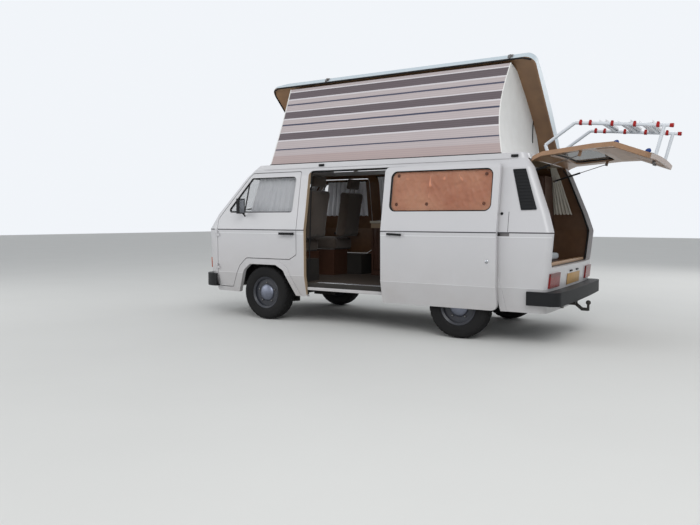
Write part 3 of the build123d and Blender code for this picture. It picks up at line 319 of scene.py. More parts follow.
# Painted pressed aluminium, with nothing on it: a yellow plate darkened to dull brown-yellow as painted shade
plate_shaded_yellow = patchy("plate_yellow_painted_shade", "steel", "#B98F4E", "#9C7A44", 12.0, Roughness=0.5)
cotton = woven_cloth("curtain_cotton", "curtain_cloth", "#F0F0F3", "#DADCE2")
nylon_net = woven_cloth("rear_curtain_net", "curtain_cloth", "#DEDACE", "#BEBBB0", alpha=0.85)
seat_cloth = woven_cloth("seat_cloth", "upholstery", "#5B4F46", "#40372F", thread=0.005)
bed_ticking = woven_cloth("bed_ticking", "upholstery", "#C3C9CC", "#9FAAB0", thread=0.006)
blind_foil = woven_cloth("window_blind_foil", "curtain_cloth", "#FFC29C", "#B5522E", thread=0.006, rough=0.42,
                         sheen=0.0, patch=3.2)
plain_canvas = woven_cloth("plain_canvas", "canvas", "#F4F4F2", "#E4E3DF", thread=0.005)

node_finish = {
    "left_side_panel": enamel_left, "sliding_door": enamel_left, "left_door_panel": enamel_left,
    "right_side_panel": enamel_right, "right_door_panel": enamel_right,
    "tailgate_panel": enamel_gate, "roof_pan": enamel_roof, "nose_panel": enamel_plain, "rear_panel": enamel_plain,
    "pop_top_roof": roof_gelcoat,
    "body_windows": side_glass, "left_door_glass": side_glass, "right_door_glass": side_glass,
    "tailgate_glass": gate_glass,
    "floor_pan": floor_vinyl, "front_axle": bitumen_coat, "rear_axle": bitumen_coat, "tow_bar": bitumen_coat,
    "engine": sand_cast, "furniture": teak_veneer, "worktop": flecked_laminate,
    "front_bumper": black_plastic, "rear_bumper": black_plastic, "front_grille": black_plastic,
    "vent_louvres": black_plastic, "dashboard": black_plastic, "steering_wheel": black_plastic,
    "left_door_fittings": black_plastic, "right_door_fittings": black_plastic,
    "left_strut_barrel": black_plastic, "right_strut_barrel": black_plastic,
    "left_strut_rod": zinc_steel, "right_strut_rod": zinc_steel,
    "left_knuckle": zinc_steel, "right_knuckle": zinc_steel, "door_runners": zinc_steel,
    "tail_lamps": red_lens, "front_lamps": clear_lens, "cycle_rack": rack_coating,
    "roof_canvas": cotton, "window_curtains": cotton, "cab_seats": seat_cloth, "bench_cushions": seat_cloth,
}
for wheel in ("front_left", "front_right", "rear_left", "rear_right"):
    node_finish[f"{wheel}_rim"] = wheel_enamel
    node_finish[f"{wheel}_tyre"] = tyre_compound
for name, finish in node_finish.items():
    nodes[name].data.materials.clear()
    nodes[name].data.materials.append(finish)


# Ways of shaping a piece
def pick_alone(piece):
    """Leave one piece selected and active, out of edit mode."""
    if bpy.context.object and bpy.context.object.mode != "OBJECT":
        bpy.ops.object.mode_set(mode="OBJECT")
    bpy.ops.object.select_all(action="DESELECT")
    if piece:
        piece.select_set(True)
        bpy.context.view_layer.objects.active = piece


def settle(piece, name, finish, body="van", sharp=35):
    """Name a finished piece, put its place into its mesh, and give it its finish and body."""
    pick_alone(piece)
    bpy.ops.object.transform_apply(location=True, rotation=True, scale=True)
    bpy.ops.object.shade_smooth_by_angle(angle=radians(sharp))
    piece.name = name
    piece.data.name = name
    piece.data.materials.clear()
    piece.data.materials.append(finish)
    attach(piece, body)
    return piece


def apply_modifier(piece, kind, **settings):
    pick_alone(piece)
    modifier = piece.modifiers.new(kind.lower(), kind)
    for name, value in settings.items():
        setattr(modifier, name, value)
    bpy.ops.object.modifier_apply(modifier=modifier.name)


def rounded_block(low, high, radius=0.004, segments=2):
    """Block between two corners with its edges rounded over."""
    pick_alone(None)
    middle = [(a + b) / 2 for a, b in zip(low, high)]
    bpy.ops.mesh.primitive_cube_add(size=1, location=middle)
    piece = bpy.context.object
    piece.scale = [abs(b - a) for a, b in zip(low, high)]
    bpy.ops.object.transform_apply(location=True, rotation=True, scale=True)
    apply_modifier(piece, "BEVEL", width=radius, segments=segments)
    return piece


def sunk_face(piece, way, border, depth):
    """Inset and sink the face of a piece that looks one way most."""
    pick_alone(piece)
    bpy.ops.object.mode_set(mode="EDIT")
    bpy.ops.mesh.select_mode(type="FACE")
    bpy.ops.mesh.select_all(action="DESELECT")
    mesh = bmesh.from_edit_mesh(piece.data)
    ahead = [face for face in mesh.faces if face.normal.dot(Vector(way)) > 0.98]
    max(ahead, key=lambda face: face.calc_area()).select = True
    bmesh.update_edit_mesh(piece.data)
    bpy.ops.mesh.inset(thickness=border, depth=0)
    bpy.ops.mesh.inset(thickness=depth * 0.5, depth=-depth)
    bpy.ops.object.mode_set(mode="OBJECT")
    return piece


def bar_between(start, end, width, depth, up, radius=0.003):
    """Flat bar from one point to another, its width across and its depth along up."""
    start, end = Vector(start), Vector(end)
    run = (end - start).normalized()
    out = Vector(up)
    out = (out - run * out.dot(run)).normalized()
    across = out.cross(run)
    length = (end - start).length
    piece = rounded_block((-length / 2, -width / 2, -depth / 2), (length / 2, width / 2, depth / 2), radius)
    turn = Matrix((run, across, out)).transposed().to_4x4()
    piece.data.transform(Matrix.Translation((start + end) / 2) @ turn)
    return piece


def tube_along(points, radius, resolution=4, smooth=False):
    """Round tube that follows points, closed at its ends."""
    line = bpy.data.curves.new("line", "CURVE")
    line.dimensions = "3D"
    spline = line.splines.new("NURBS" if smooth else "POLY")
    spline.points.add(len(points) - 1)
    for point, place in zip(spline.points, points):
        point.co = (*place, 1)
    if smooth:
        spline.order_u = 3
        spline.use_endpoint_u = True
    line.bevel_depth = radius
    line.bevel_resolution = resolution
    line.use_fill_caps = True
    piece = bpy.data.objects.new("tube", line)
    bpy.context.scene.collection.objects.link(piece)
    pick_alone(piece)
    bpy.ops.object.convert(target="MESH")
    return bpy.context.object


def turned(rows, centre, axis, segments=48, solid=True):
    """Disc drawn out and resized through rows of distance along the axis and radius, as on a lathe."""
    pick_alone(None)
    bpy.ops.mesh.primitive_circle_add(vertices=segments, radius=rows[0][1], fill_type="NGON" if solid else "NOTHING")
    piece = bpy.context.object
    bpy.ops.object.mode_set(mode="EDIT")
    bpy.ops.mesh.select_mode(type="VERT")
    bpy.ops.mesh.select_all(action="SELECT")
    bpy.ops.transform.translate(value=(0, 0, rows[0][0]))
    for (from_here, radius), (to_here, next_radius) in zip(rows, rows[1:]):
        bpy.ops.mesh.extrude_region_move(TRANSFORM_OT_translate={"value": (0, 0, to_here - from_here)})
        share = next_radius / radius
        bpy.ops.transform.resize(value=(share, share, 1), center_override=(0, 0, to_here))
    bpy.ops.mesh.select_all(action="SELECT")
    bpy.ops.mesh.remove_doubles(threshold=0.0001)
    bpy.ops.mesh.normals_make_consistent(inside=False)
    bpy.ops.object.mode_set(mode="OBJECT")
    turn = Vector((0, 0, 1)).rotation_difference(Vector(axis)).to_matrix().to_4x4()
    piece.data.transform(Matrix.Translation(centre) @ turn)
    return piece


def joined(pieces):
    """Several pieces made one mesh."""
    pick_alone(None)
    for piece in pieces:
        piece.select_set(True)
    bpy.context.view_layer.objects.active = pieces[0]
    bpy.ops.object.join()
    return bpy.context.object


def copied(piece, change):
    """Copy of a piece with its own mesh, moved by a matrix."""
    twin = piece.copy()
    twin.data = piece.data.copy()
    bpy.context.scene.collection.objects.link(twin)
    twin.data.transform(change)
    if change.determinant() < 0:
        twin.data.flip_normals()
    return twin


def merged_copy(node):
    """Copy of a CAD node with its triangles merged."""
    piece = nodes[node].copy()
    piece.data = nodes[node].data.copy()
    bpy.context.scene.collection.objects.link(piece)
    piece.parent = None
    pick_alone(piece)
    bpy.ops.object.mode_set(mode="EDIT")
    bpy.ops.mesh.select_mode(type="FACE")
    bpy.ops.mesh.select_all(action="SELECT")
    bpy.ops.mesh.remove_doubles(threshold=0.0002)
    bpy.ops.object.mode_set(mode="OBJECT")
    return piece


def skin_patch(node, low, high, out, thickness, facing=0.5, open_by=None):
    """Piece of a panel's skin between two corners, thickened the way that it looks.
    open_by is how the panel stands open, and the corners are those of the closed panel."""
    patch = merged_copy(node)
    if open_by:
        patch.data.transform(open_by.inverted())
    bpy.ops.object.mode_set(mode="EDIT")
    for axis in range(3):
        for bound, keep_above in ((low[axis], True), (high[axis], False)):
            if bound is not None:
                spot, way = [0, 0, 0], [0, 0, 0]
                spot[axis], way[axis] = bound, 1
                bpy.ops.mesh.select_all(action="SELECT")
                bpy.ops.mesh.bisect(plane_co=spot, plane_no=way, clear_inner=keep_above, clear_outer=not keep_above)
    mesh = bmesh.from_edit_mesh(patch.data)
    for face in mesh.faces:
        face.select = face.normal.dot(Vector(out).normalized()) < facing
    bmesh.update_edit_mesh(patch.data)
    bpy.ops.mesh.delete(type="FACE")
    bpy.ops.object.mode_set(mode="OBJECT")
    apply_modifier(patch, "SOLIDIFY", thickness=thickness, offset=1)
    if open_by:
        patch.data.transform(open_by)
    return patch


# Where the body's surfaces and hinges lie
side_line = ((0.310, 0.860), (0.548, 0.912), (belt_z, 0.920), (1.262, 0.887), (1.700, 0.815), (1.790, 0.765))
tail_line = ((0.310, 3.335), (0.548, 3.353), (belt_z, 3.400), (1.262, 3.343), (1.700, 3.175), (1.790, 3.110))
side_top_height = 1.789               # highest point that the side walls reach
slide_out = 0.070                     # how far the sliding door stands out when it is open
belt_strip_z = (1.0665, 1.0775)       # lower and upper edge of the belt's groove
pressed_line_z = (0.549, 1.030)
roof_angle, gate_angle = 41.3, 74     # how far the roof and the tailgate stand open, in degrees


def along_line(line, z):
    """Value of a line of heights at one height."""
    for (z0, a), (z1, b) in zip(line, line[1:]):
        if z <= z1:
            break
    return a + (b - a) * (z - z0) / (z1 - z0)


def half_width(z):
    """Half of the body's width at a height."""
    return along_line(side_line, z)


def tail_skin(z, y):
    """Length at which the tail's skin stands: it bows out towards the middle."""
    return along_line(tail_line, z) + 0.0215 * (1 - (y / 0.85) ** 2)


def at(x, y, z):
    """Point whose length is taken from the front axle."""
    return Vector((axle_x + x, y, z))


mirror_y = Matrix.Scale(-1, 4, (0, 1, 0))


def swung(hinge, degrees, axis):
    """Turn about a hinge, as a matrix."""
    return Matrix.Translation(hinge) @ Matrix.Rotation(radians(degrees), 4, axis) @ Matrix.Translation(-hinge)


roof_up = swung(Vector((0, 0.750, 1.852)), -roof_angle, "X")
gate_up = swung(Vector((axle_x + 3.112, 0, 1.815)), -gate_angle, "Y")


# Window rubbers: a bead pressed round the outer edge of each pane
def window_panes(node):
    """Each pane of a glass node as a merged copy of its own."""
    merged_copy(node)
    bpy.ops.object.mode_set(mode="EDIT")
    bpy.ops.mesh.separate(type="LOOSE")
    bpy.ops.object.mode_set(mode="OBJECT")
    return list(bpy.context.selected_objects)


def pane_bead(pane, out, radius):
    """Rubber bead round a pane's outer face; out is the way that the face looks."""
    pick_alone(pane)
    bpy.ops.object.mode_set(mode="EDIT")
    bpy.ops.mesh.select_mode(type="FACE")
    bpy.ops.mesh.select_all(action="DESELECT")
    mesh = bmesh.from_edit_mesh(pane.data)
    for face in mesh.faces:
        face.select = face.normal.dot(Vector(out)) < 0.5
    bmesh.update_edit_mesh(pane.data)
    bpy.ops.mesh.delete(type="FACE")
    bpy.ops.mesh.select_all(action="SELECT")
    bpy.ops.mesh.region_to_loop()
    bpy.ops.mesh.select_all(action="INVERT")
    bpy.ops.mesh.delete(type="EDGE")
    bpy.ops.object.mode_set(mode="OBJECT")
    bpy.ops.object.convert(target="CURVE")
    line = bpy.context.object
    line.data.bevel_depth = radius
    line.data.bevel_resolution = 3
    bpy.ops.object.convert(target="MESH")
    return bpy.context.object


def middle_of(piece):
    return sum((v.co for v in piece.data.vertices), Vector()) / len(piece.data.vertices)


for number, pane in enumerate(sorted(window_panes("body_windows"), key=lambda p: tuple(middle_of(p)))):
    middle = middle_of(pane)
    out = (-0.8, 0, 0.6) if middle.x < -1.9 else (0, -1 if middle.y < 0 else 1, 0)
    settle(pane_bead(pane, out, 0.012), f"window_rubber_{number + 1}", window_rubber)
for side, way in (("left", -1), ("right", 1)):
    pane = window_panes(f"{side}_door_glass")[0]
    settle(pane_bead(pane, (0, way, 0), 0.010), f"{side}_door_rubber", window_rubber, f"{side}_door")
    # The quarter light's upright, 16 mm wide, stands on the door's pane
    foot, head = [at(x, way * (half_width(z) - 0.010), z) for x, z in ((-0.313, 1.278), (-0.270, 1.690))]
    upright = bar_between(foot, head, 0.016, 0.008, (0, way, 0))
    settle(upright, f"{side}_quarter_light_upright", window_rubber, f"{side}_door")
pane = window_panes("tailgate_glass")[0]
settle(pane_bead(pane, (0.3, 0, 0.95), 0.012), "tailgate_rubber", window_rubber, "tailgate")


# Canvas under the raised roof: three stretched sheets
rail_z = 1.843


def cloth_sheet(name, columns, rows, place, lengths):
    """Sheet of cloth as a grid: place gives a point for its two shares, and its UV map runs in metres."""
    pick_alone(None)
    bpy.ops.mesh.primitive_grid_add(x_subdivisions=columns, y_subdivisions=rows, size=1)
    piece = bpy.context.object
    piece.name = name
    cloth = piece.data.uv_layers.new(name="cloth")
    shares = [(v.co.x + 0.5, v.co.y + 0.5) for v in piece.data.vertices]
    for loop in piece.data.loops:
        u, v = shares[loop.vertex_index]
        cloth.data[loop.index].uv = (u * lengths[0], v * lengths[1])
    for other in [layer.name for layer in piece.data.uv_layers if layer.name != "cloth"]:
        piece.data.uv_layers.remove(piece.data.uv_layers[other])
    for vertex, (u, v) in zip(piece.data.vertices, shares):
        vertex.co = place(u, v)
    piece.data.update()
    return piece


def sheet_area(piece):
    return sum(face.area for face in piece.data.polygons)


def finished_sheet(piece, name, finish, thickness=0.0016):
    apply_modifier(piece, "SOLIDIFY", thickness=thickness, offset=0)
    settle(piece, name, finish, sharp=60)
    return piece


pale_band, white_band, dark_band, navy_band = "#C3B8B8", "#E3E0E3", "#5A5054", "#2B3550"
stripe_bands = [(0.0, "#B9A7A4"), (0.120, pale_band)]
for navy, dark in ((0.201, 0.373), (0.529, 0.663), (0.808, 0.932)):
    stripe_bands += [(navy - 0.0095, navy_band), (navy + 0.0095, pale_band), (dark - 0.0610, white_band),
                     (dark - 0.0455, dark_band), (dark + 0.0455, white_band), (dark + 0.0610, pale_band)]
stripe_bands.append((1.06, pale_band))
stripes = striped_canvas("striped_canvas", stripe_bands)

side_bottom_y, side_top_y, side_top_z = -0.722, -0.345, 2.800


def front_edge_x(v):
    return axle_x - 0.030 + 0.028 * v + 0.012 * sin(pi * v)


def rear_edge_x(v):
    return axle_x + 2.838 - 0.048 * v - 0.066 * sin(pi * v)


def side_wall(u, v):
    """The left wall, pulled in a little at mid-height and rippled between its hooks."""
    x = front_edge_x(v) + (rear_edge_x(v) - front_edge_x(v)) * u
    slack = 0.012 * sin(pi * v) * sin(pi * u) - 0.003 * sin(pi * v) * sin(9 * pi * u + 2 * v)
    slack += 0.002 * sin(pi * u) * sin(31 * u + 5 * v) * (1 - v)
    return Vector((x, side_bottom_y + (side_top_y - side_bottom_y) * v + slack, rail_z + (side_top_z - rail_z) * v))


def end_wall(edge_x, way):
    """An end wall, three-cornered, under the crown of the roof."""
    left_top, crown, right_top = Vector((side_top_y, side_top_z)), Vector((0.225, 2.545)), Vector((0.655, 1.972))

    def place(u, v):
        swell = 4 * u * (1 - u)
        top = left_top.lerp(right_top, u) + (crown - left_top.lerp(right_top, 0.5)) * swell
        bottom = Vector((side_bottom_y + (0.66 - side_bottom_y) * u, rail_z))
        point = bottom.lerp(top, v)
        sag = way * 0.02 * sin(pi * v) * sin(pi * u)
        edge = edge_x(v)
        return Vector((edge + (edge_x(0) - way * 0.012 - edge) * u * 0.65 + sag, point.x, point.y))
    return place


canvas_height = ((side_top_z - rail_z) ** 2 + (side_top_y - side_bottom_y) ** 2) ** 0.5
rear_wall = end_wall(rear_edge_x, 1)
canvas = []
for name, place, length, material in (
    ("canvas_side", side_wall, 2.84, stripes),
    ("canvas_rear", rear_wall, 1.3, plain_canvas),
    ("canvas_front", end_wall(front_edge_x, -1), 1.3, plain_canvas),
):
    piece = cloth_sheet(name, 72 if name == "canvas_side" else 40, 40, place, (length, canvas_height))
    height = sheet_area(piece) / length
    finished_sheet(piece, name, material)
    canvas.append(piece)
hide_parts("roof_canvas")

# Canvas trims: the zip up the rear wall, hems down both corners and a welt along the roof rail
zip_line = [rear_wall(0.78 - 0.08 * s / 12, 0.52 + 0.48 * s / 12) + Vector((0.006, 0, 0)) for s in range(13)]
welt_line = [side_wall(u / 24, 0) + Vector((0, -0.004, 0.006)) for u in range(25)]
for name, points, radius, finish in (
    ("canvas_zip", zip_line, 0.0055, black_plastic),
    ("rear_corner_hem", [side_wall(1, v / 16) for v in range(17)], 0.006, plain_canvas),
    ("front_corner_hem", [side_wall(0, v / 16) for v in range(17)], 0.006, plain_canvas),
    ("rail_welt", welt_line, 0.006, black_plastic),
):
    canvas.append(settle(tube_along(points, radius, resolution=2), name, finish))
for piece in canvas:
    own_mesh(piece)


# Raised roof: seal under the lip along the left side and nose, its two catches, and their hooks on the rail
lip = [(3.000, -0.700), (2.915, -0.732), (-0.18, -0.732), (-0.262, -0.704), (-0.29, -0.62), (-0.29, 0.62)]
seal = tube_along([at(x, y, 1.853) for x, y in lip], 0.009)
seal.data.transform(roof_up)
settle(seal, "roof_lip_seal", window_rubber, "pop_top")

for number, x in enumerate((0.539, 2.785)):
    plate = rounded_block(at(x - 0.028, -0.748, 1.872), at(x + 0.028, -0.738, 1.915), 0.003)
    plate = sunk_face(plate, (0, -1, 0), 0.006, 0.002)
    hook = rounded_block(at(x - 0.010, -0.760, 1.846), at(x + 0.010, -0.745, 1.905), 0.004)
    catch = joined([plate, hook])
    catch.data.transform(roof_up)
    settle(catch, f"roof_catch_{number + 1}", zinc_steel, "pop_top")
    keeper = joined([rounded_block(at(x + 0.165, -0.778, 1.800), at(x + 0.235, -0.762, 1.826), 0.004),
                     rounded_block(at(x + 0.185, -0.788, 1.806), at(x + 0.212, -0.770, 1.820), 0.003)])
    settle(keeper, f"roof_keeper_{number + 1}", black_plastic)

# Drip rails along the foot of the roof, rolled over at their outer edge
gutter_line = ((-0.150, 0.745, 1.789), (-0.080, 0.766, 1.790), (0.0, 0.769, 1.790), (2.930, 0.769, 1.790),
               (3.010, 0.764, 1.789))
for side, way in (("left", -1), ("right", 1)):
    gutter = tube_along([at(x, way * y, z) for x, y, z in gutter_line], 0.007, resolution=3)
    settle(gutter, f"{side}_drip_rail", enamel_plain)


# Wheels: tyre with grooves and blocks, domed hub cap, wheel nuts and valve
wheel_y, wheel_radius = 0.7925, 0.320
nut_circle, valve_circle = 0.116, 0.150
tyre_rows = [(-0.060, 0.179), (-0.076, 0.190), (-0.086, 0.212), (-0.0915, 0.240), (-0.0905, 0.262), (-0.0915, 0.266),
             (-0.089, 0.288), (-0.081, 0.306), (-0.070, 0.3145), (-0.052, 0.3185), (-0.048, 0.311), (-0.042, 0.311),
             (-0.038, 0.3192), (-0.008, 0.3198), (-0.004, 0.312), (0.004, 0.312), (0.008, 0.3198), (0.038, 0.3192),
             (0.042, 0.311), (0.048, 0.311), (0.052, 0.3185), (0.070, 0.3145), (0.081, 0.306), (0.089, 0.288),
             (0.0915, 0.266), (0.0905, 0.262), (0.0915, 0.240), (0.086, 0.212), (0.076, 0.190), (0.060, 0.179),
             (-0.060, 0.179)]


def grooved_tyre(centre, segments=96):
    """Tyre turned from its section, with shoulder blocks cut in between every third pair of facets."""
    piece = turned(tyre_rows, (0, 0, 0), (0, 0, 1), segments, solid=False)
    pick_alone(piece)
    bpy.ops.object.mode_set(mode="EDIT")
    bpy.ops.mesh.select_mode(type="FACE")
    bpy.ops.mesh.select_all(action="DESELECT")
    mesh = bmesh.from_edit_mesh(piece.data)
    for face in mesh.faces:
        place = face.calc_center_median()
        outer = place.xy.length
        turn = int((atan2(place.y, place.x) + pi) / (2 * pi) * segments)
        shoulder = 0.05 < abs(place.z) < 0.083 and outer > 0.300
        rib = 0.008 < abs(place.z) < 0.038 and outer > 0.315
        face.select = (shoulder and turn % 3 == 0) or (rib and turn % 4 == (0 if place.z > 0 else 2))
    bmesh.update_edit_mesh(piece.data)
    bpy.ops.mesh.inset(thickness=0.003, depth=-0.005, use_individual=False)
    bpy.ops.object.mode_set(mode="OBJECT")
    piece.data.transform(Matrix.Translation(centre) @ Matrix.Rotation(radians(90), 4, "X"))
    return piece


dome_rows = [(0.040, 0.100), (0.050, 0.101), (0.058, 0.094), (0.066, 0.085), (0.074, 0.070), (0.080, 0.052),
             (0.0835, 0.034), (0.085, 0.016), (0.0855, 0.001)]
nut_rows = [(0.040, 0.011), (0.052, 0.011), (0.057, 0.007), (0.058, 0.001)]
valve_rows = [(0.036, 0.004), (0.060, 0.004), (0.062, 0.003)]
for front, x in (("front", 0), ("rear", wheelbase)):
    for side, way in (("left", -1), ("right", 1)):
        centre = at(x, way * wheel_y, wheel_radius)
        wheel = f"{front}_{side}_wheel"
        tyre = settle(grooved_tyre(centre), f"{front}_{side}_tread", tyre_compound, wheel, sharp=40)
        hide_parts(f"{front}_{side}_tyre")
        settle(turned(dome_rows, centre, (0, way, 0)), f"{front}_{side}_hub_cap", dome_steel, wheel, sharp=50)
        nuts = []
        for turn in range(5):
            angle = 2 * pi * (turn + 0.25) / 5
            place = centre + nut_circle * Vector((cos(angle), 0, sin(angle)))
            nuts.append(turned(nut_rows, place, (0, way, 0), 6))
        valve = centre + Vector((valve_circle, 0, 0))
        nuts.append(turned(valve_rows, valve, (0, way, 0), 12))
        settle(joined(nuts), f"{front}_{side}_wheel_nuts", zinc_steel, wheel, sharp=20)


# Dark strips in the belt groove, cut from the groove's own floor: painted shade, standing for the shadow in the groove
for node, out, body in (
    ("nose_panel", (-1, 0, 0), "van"), ("left_side_panel", (0, -1, 0), "van"), ("right_side_panel", (0, 1, 0), "van"),
    ("sliding_door", (0, -1, 0), "van"), ("left_door_panel", (0, -1, 0), "left_door"),
    ("right_door_panel", (0, 1, 0), "right_door"),
):
    strip = skin_patch(node, (None, None, belt_strip_z[0]), (None, None, belt_strip_z[1]), out, 0.0045, 0.25)
    settle(strip, f"{node}_belt_shade_strip", belt_shade_rubber, body)

# Pressed lines, 6 mm wide, along the sides above and below the doors' flat, drawn as strips of paler paint: a painted
# highlight where each crease catches the light
for node, way, body in (
    ("left_side_panel", -1, "van"), ("right_side_panel", 1, "van"), ("sliding_door", -1, "van"),
    ("left_door_panel", -1, "left_door"), ("right_door_panel", 1, "right_door"),
):
    lines = [skin_patch(node, (None, None, z - 0.0030), (None, None, z + 0.0030), (0, way, 0), 0.0016)
             for z in pressed_line_z]
    settle(joined(lines), f"{node}_pressed_line_highlights", crease_highlight_paint, body)

# Shut lines of the rear quarters above the belt, the fuel flap, and a small lock
for side, way in (("left", -1), ("right", 1)):
    seam = skin_patch(f"{side}_side_panel", (axle_x + 2.974, None, 1.080), (axle_x + 2.978, None, 1.272),
                      (0, way, 0), 0.0008)
    settle(seam, f"{side}_quarter_seam", window_rubber)
flap = skin_patch("right_side_panel", (axle_x + 0.515, None, 0.820), (axle_x + 0.665, None, 0.960), (0, 1, 0), 0.003)
settle(flap, "fuel_flap", enamel_plain)
quarter_lock = turned([(0, 0.014), (0.006, 0.014), (0.009, 0.010), (0.010, 0.001)],
                      at(2.908, -half_width(1.255), 1.255), (0, -1, 0), 32)
settle(quarter_lock, "rear_quarter_lock", black_plastic)

# Sliding door: pull handle over its dish, and the round lock
handle_y = -(half_width(1.043) + slide_out)
dish = sunk_face(rounded_block(at(1.700, handle_y - 0.006, 1.018), at(1.905, handle_y + 0.002, 1.068), 0.0028),
                 (0, -1, 0), 0.006, 0.003)
lever = bar_between(at(1.716, handle_y - 0.026, 1.046), at(1.884, handle_y - 0.022, 1.038), 0.022, 0.012,
                    (0, 1, 0), 0.004)
posts = [rounded_block(at(x - 0.008, handle_y - 0.022, 1.034), at(x + 0.008, handle_y, 1.050), 0.003)
         for x in (1.742, 1.862)]
settle(dish, "sliding_door_dish", enamel_plain)
settle(joined([lever] + posts), "sliding_door_handle", black_plastic)
lock_y = -(half_width(0.793) + slide_out)
lock = turned([(-0.002, 0.017), (0.005, 0.017), (0.008, 0.013), (0.009, 0.001)],
              at(2.796, lock_y, 0.793), (0, -1, 0), 32)
settle(lock, "sliding_door_lock", bright_steel)

# Sliding doorway: jamb trim on the pillar, seal round the opening, step ledge and tread strip
jamb = skin_patch("left_side_panel", (axle_x + 0.590, None, 0.330), (axle_x + 0.610, None, 1.730), (1, 0, 0),
                  0.003, 0.8)
settle(jamb, "doorway_jamb_trim", cream_board)
seal_line = [(0.603, 0.335), (0.603, 1.728), (0.625, 1.741), (1.600, 1.741)]
doorway_seal = tube_along([at(x, -(half_width(z) - 0.030), z) for x, z in seal_line], 0.008, resolution=3)
settle(doorway_seal, "doorway_seal", window_rubber)
ledge = sunk_face(rounded_block(at(0.612, -0.872, 0.386), at(1.640, -0.700, 0.4195), 0.006), (0, -1, 0), 0.006, 0.002)
settle(ledge, "step_ledge", enamel_plain)
tread = [rounded_block(at(0.640, y - 0.006, 0.469), at(1.560, y + 0.006, 0.474), 0.002)
         for y in (-0.765, -0.785, -0.805)]
settle(joined(tread), "step_tread_strips", bright_steel)

# Nose: amber indicators and headlamp rims
for side, way in (("left", -1), ("right", 1)):
    y0, y1 = sorted((way * 0.600, way * 0.815))
    lens = skin_patch("nose_panel", (None, y0, 0.590), (None, y1, 0.716), (-0.85, way * 0.5, 0), 0.012, 0.4)
    apply_modifier(lens, "BEVEL", width=0.003, segments=2, limit_method="ANGLE", angle_limit=radians(50))
    settle(lens, f"{side}_indicator", amber_lens)
    rim_rows = [(-0.010, 0.0935), (0.004, 0.0960), (0.010, 0.0950), (0.012, 0.0900), (0.006, 0.0860), (-0.006, 0.0850)]
    lamp_rim = turned(rim_rows + rim_rows[:1], at(-0.998, way * 0.600, 0.830), (-1, 0, 0), 48, solid=False)
    settle(lamp_rim, f"{side}_headlamp_rim", bright_steel)

# Wipers at the foot of the windscreen
screen_foot_z, screen_head_z = 1.290, 1.702
screen_out = Vector((-0.72, 0, 0.69))


def on_screen(y, z, lift):
    """Point lifted off the windscreen's outer face, found from one that lies 50 mm in front of it."""
    run = (z - screen_foot_z) / (screen_head_z - screen_foot_z)
    bow = 0.055 * (y / 0.72) ** 2
    before = at(-0.833 + 0.385 * run + bow, y, z) + screen_out * 0.05
    spot, normal = nodes["body_windows"].closest_point_on_mesh(before)[1:3]
    return spot + normal * lift


for number, pivot_y in enumerate((-0.430, 0.080)):
    tip_y = pivot_y + 0.420
    pivot, tip = on_screen(pivot_y, 1.300, 0.012), on_screen(tip_y, 1.345, 0.014)
    arm = tube_along([pivot, pivot.lerp(tip, 0.5) + Vector((-0.010, 0, 0.008)), tip], 0.0045, smooth=True)
    blade_line = [on_screen(tip_y + along, z, lift)
                  for along, z, lift in ((-0.230, 1.322, 0.005), (-0.070, 1.339, 0.006), (0.090, 1.356, 0.005))]
    blade = tube_along(blade_line, 0.0050, smooth=True)
    spindle = turned([(-0.024, 0.011), (0.004, 0.012), (0.010, 0.010), (0.012, 0.001)], pivot, screen_out, 24)
    settle(joined([arm, blade, spindle]), f"wiper_{number + 1}", black_plastic)


# Curtains: cotton gathered on a rail inside each side window
curtain_inset = 0.068         # from the body's skin to the middle of the folds


def gathered(x_low, x_high, z_low, z_high, way, inset, folds, depth, seed):
    """Curtain along a side: x_low and x_high each give the bottom and the top length of an edge."""
    def place(u, v):
        loose = 1 - 0.45 * v
        x0 = x_low[0] + (x_low[1] - x_low[0]) * v
        x1 = x_high[0] + (x_high[1] - x_high[0]) * v
        wander = 0.35 * sin(3.1 * u + seed) + 0.2 * sin(7.3 * u + 1.7 * seed + 2.2 * v)
        phase = 2 * pi * folds * (u + 0.02 * wander)
        ripple = sin(phase) + 0.3 * sin(2.1 * phase + seed + 1.5 * v)
        z = z_low + (z_high - z_low) * v - 0.006 * (1 - v) * cos(phase)
        y = half_width(min(z, side_top_height)) - inset + depth * loose * ripple
        return (axle_x + x0 + (x1 - x0) * u + 0.35 * depth * loose * cos(phase), way * y, z)
    return place


curtain_rows = (
    ("left_cab_curtain", (-0.270, -0.160), (0.440, 0.440), 1.250, 1.712, -1, 9, 1),
    ("right_cab_curtain", (-0.270, -0.160), (0.440, 0.440), 1.250, 1.712, 1, 9, 2),
    ("left_rear_curtain", (1.905, 1.905), (2.895, 2.895), 1.245, 1.765, -1, 20, 3),
    ("right_middle_curtain", (0.645, 0.645), (1.835, 1.835), 1.245, 1.765, 1, 24, 4),
    ("right_rear_curtain", (1.905, 1.905), (2.600, 2.600), 1.245, 1.765, 1, 14, 5),
)
for name, x_low, x_high, z_low, z_high, way, folds, seed in curtain_rows:
    height = z_high - z_low
    place = gathered(x_low, x_high, z_low, z_high, way, curtain_inset, folds, 0.0095, seed)
    cloth = cloth_sheet(name, folds * 12, 24, place, (x_high[0] - x_low[0], height))
    finished_sheet(cloth, name, cotton, thickness=0.0012)
    if name == "left_cab_curtain":
        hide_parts("window_curtains")
    rail_y = way * (half_width(min(z_high, side_top_height)) - curtain_inset)
    rail_ends = x_low[1] - 0.012, x_high[1] + 0.012
    rail = tube_along([at(x, rail_y, z_high + 0.003) for x in rail_ends], 0.0045)
    ends = [rounded_block(at(x - 0.008, rail_y - 0.008, z_high - 0.006), at(x + 0.008, rail_y + 0.008, z_high + 0.012),
                          0.003) for x in rail_ends]
    settle(joined([rail] + ends), f"{name}_rail", black_plastic)

net_place = gathered((2.962, 2.935), (3.165, 3.005), 1.262, 1.792, 1, 0.088, 5, 0.010, 6)
net_curtain = cloth_sheet("net_curtain", 50, 24, net_place, (0.3, 0.53))
finished_sheet(net_curtain, "net_curtain", nylon_net, thickness=0.001)


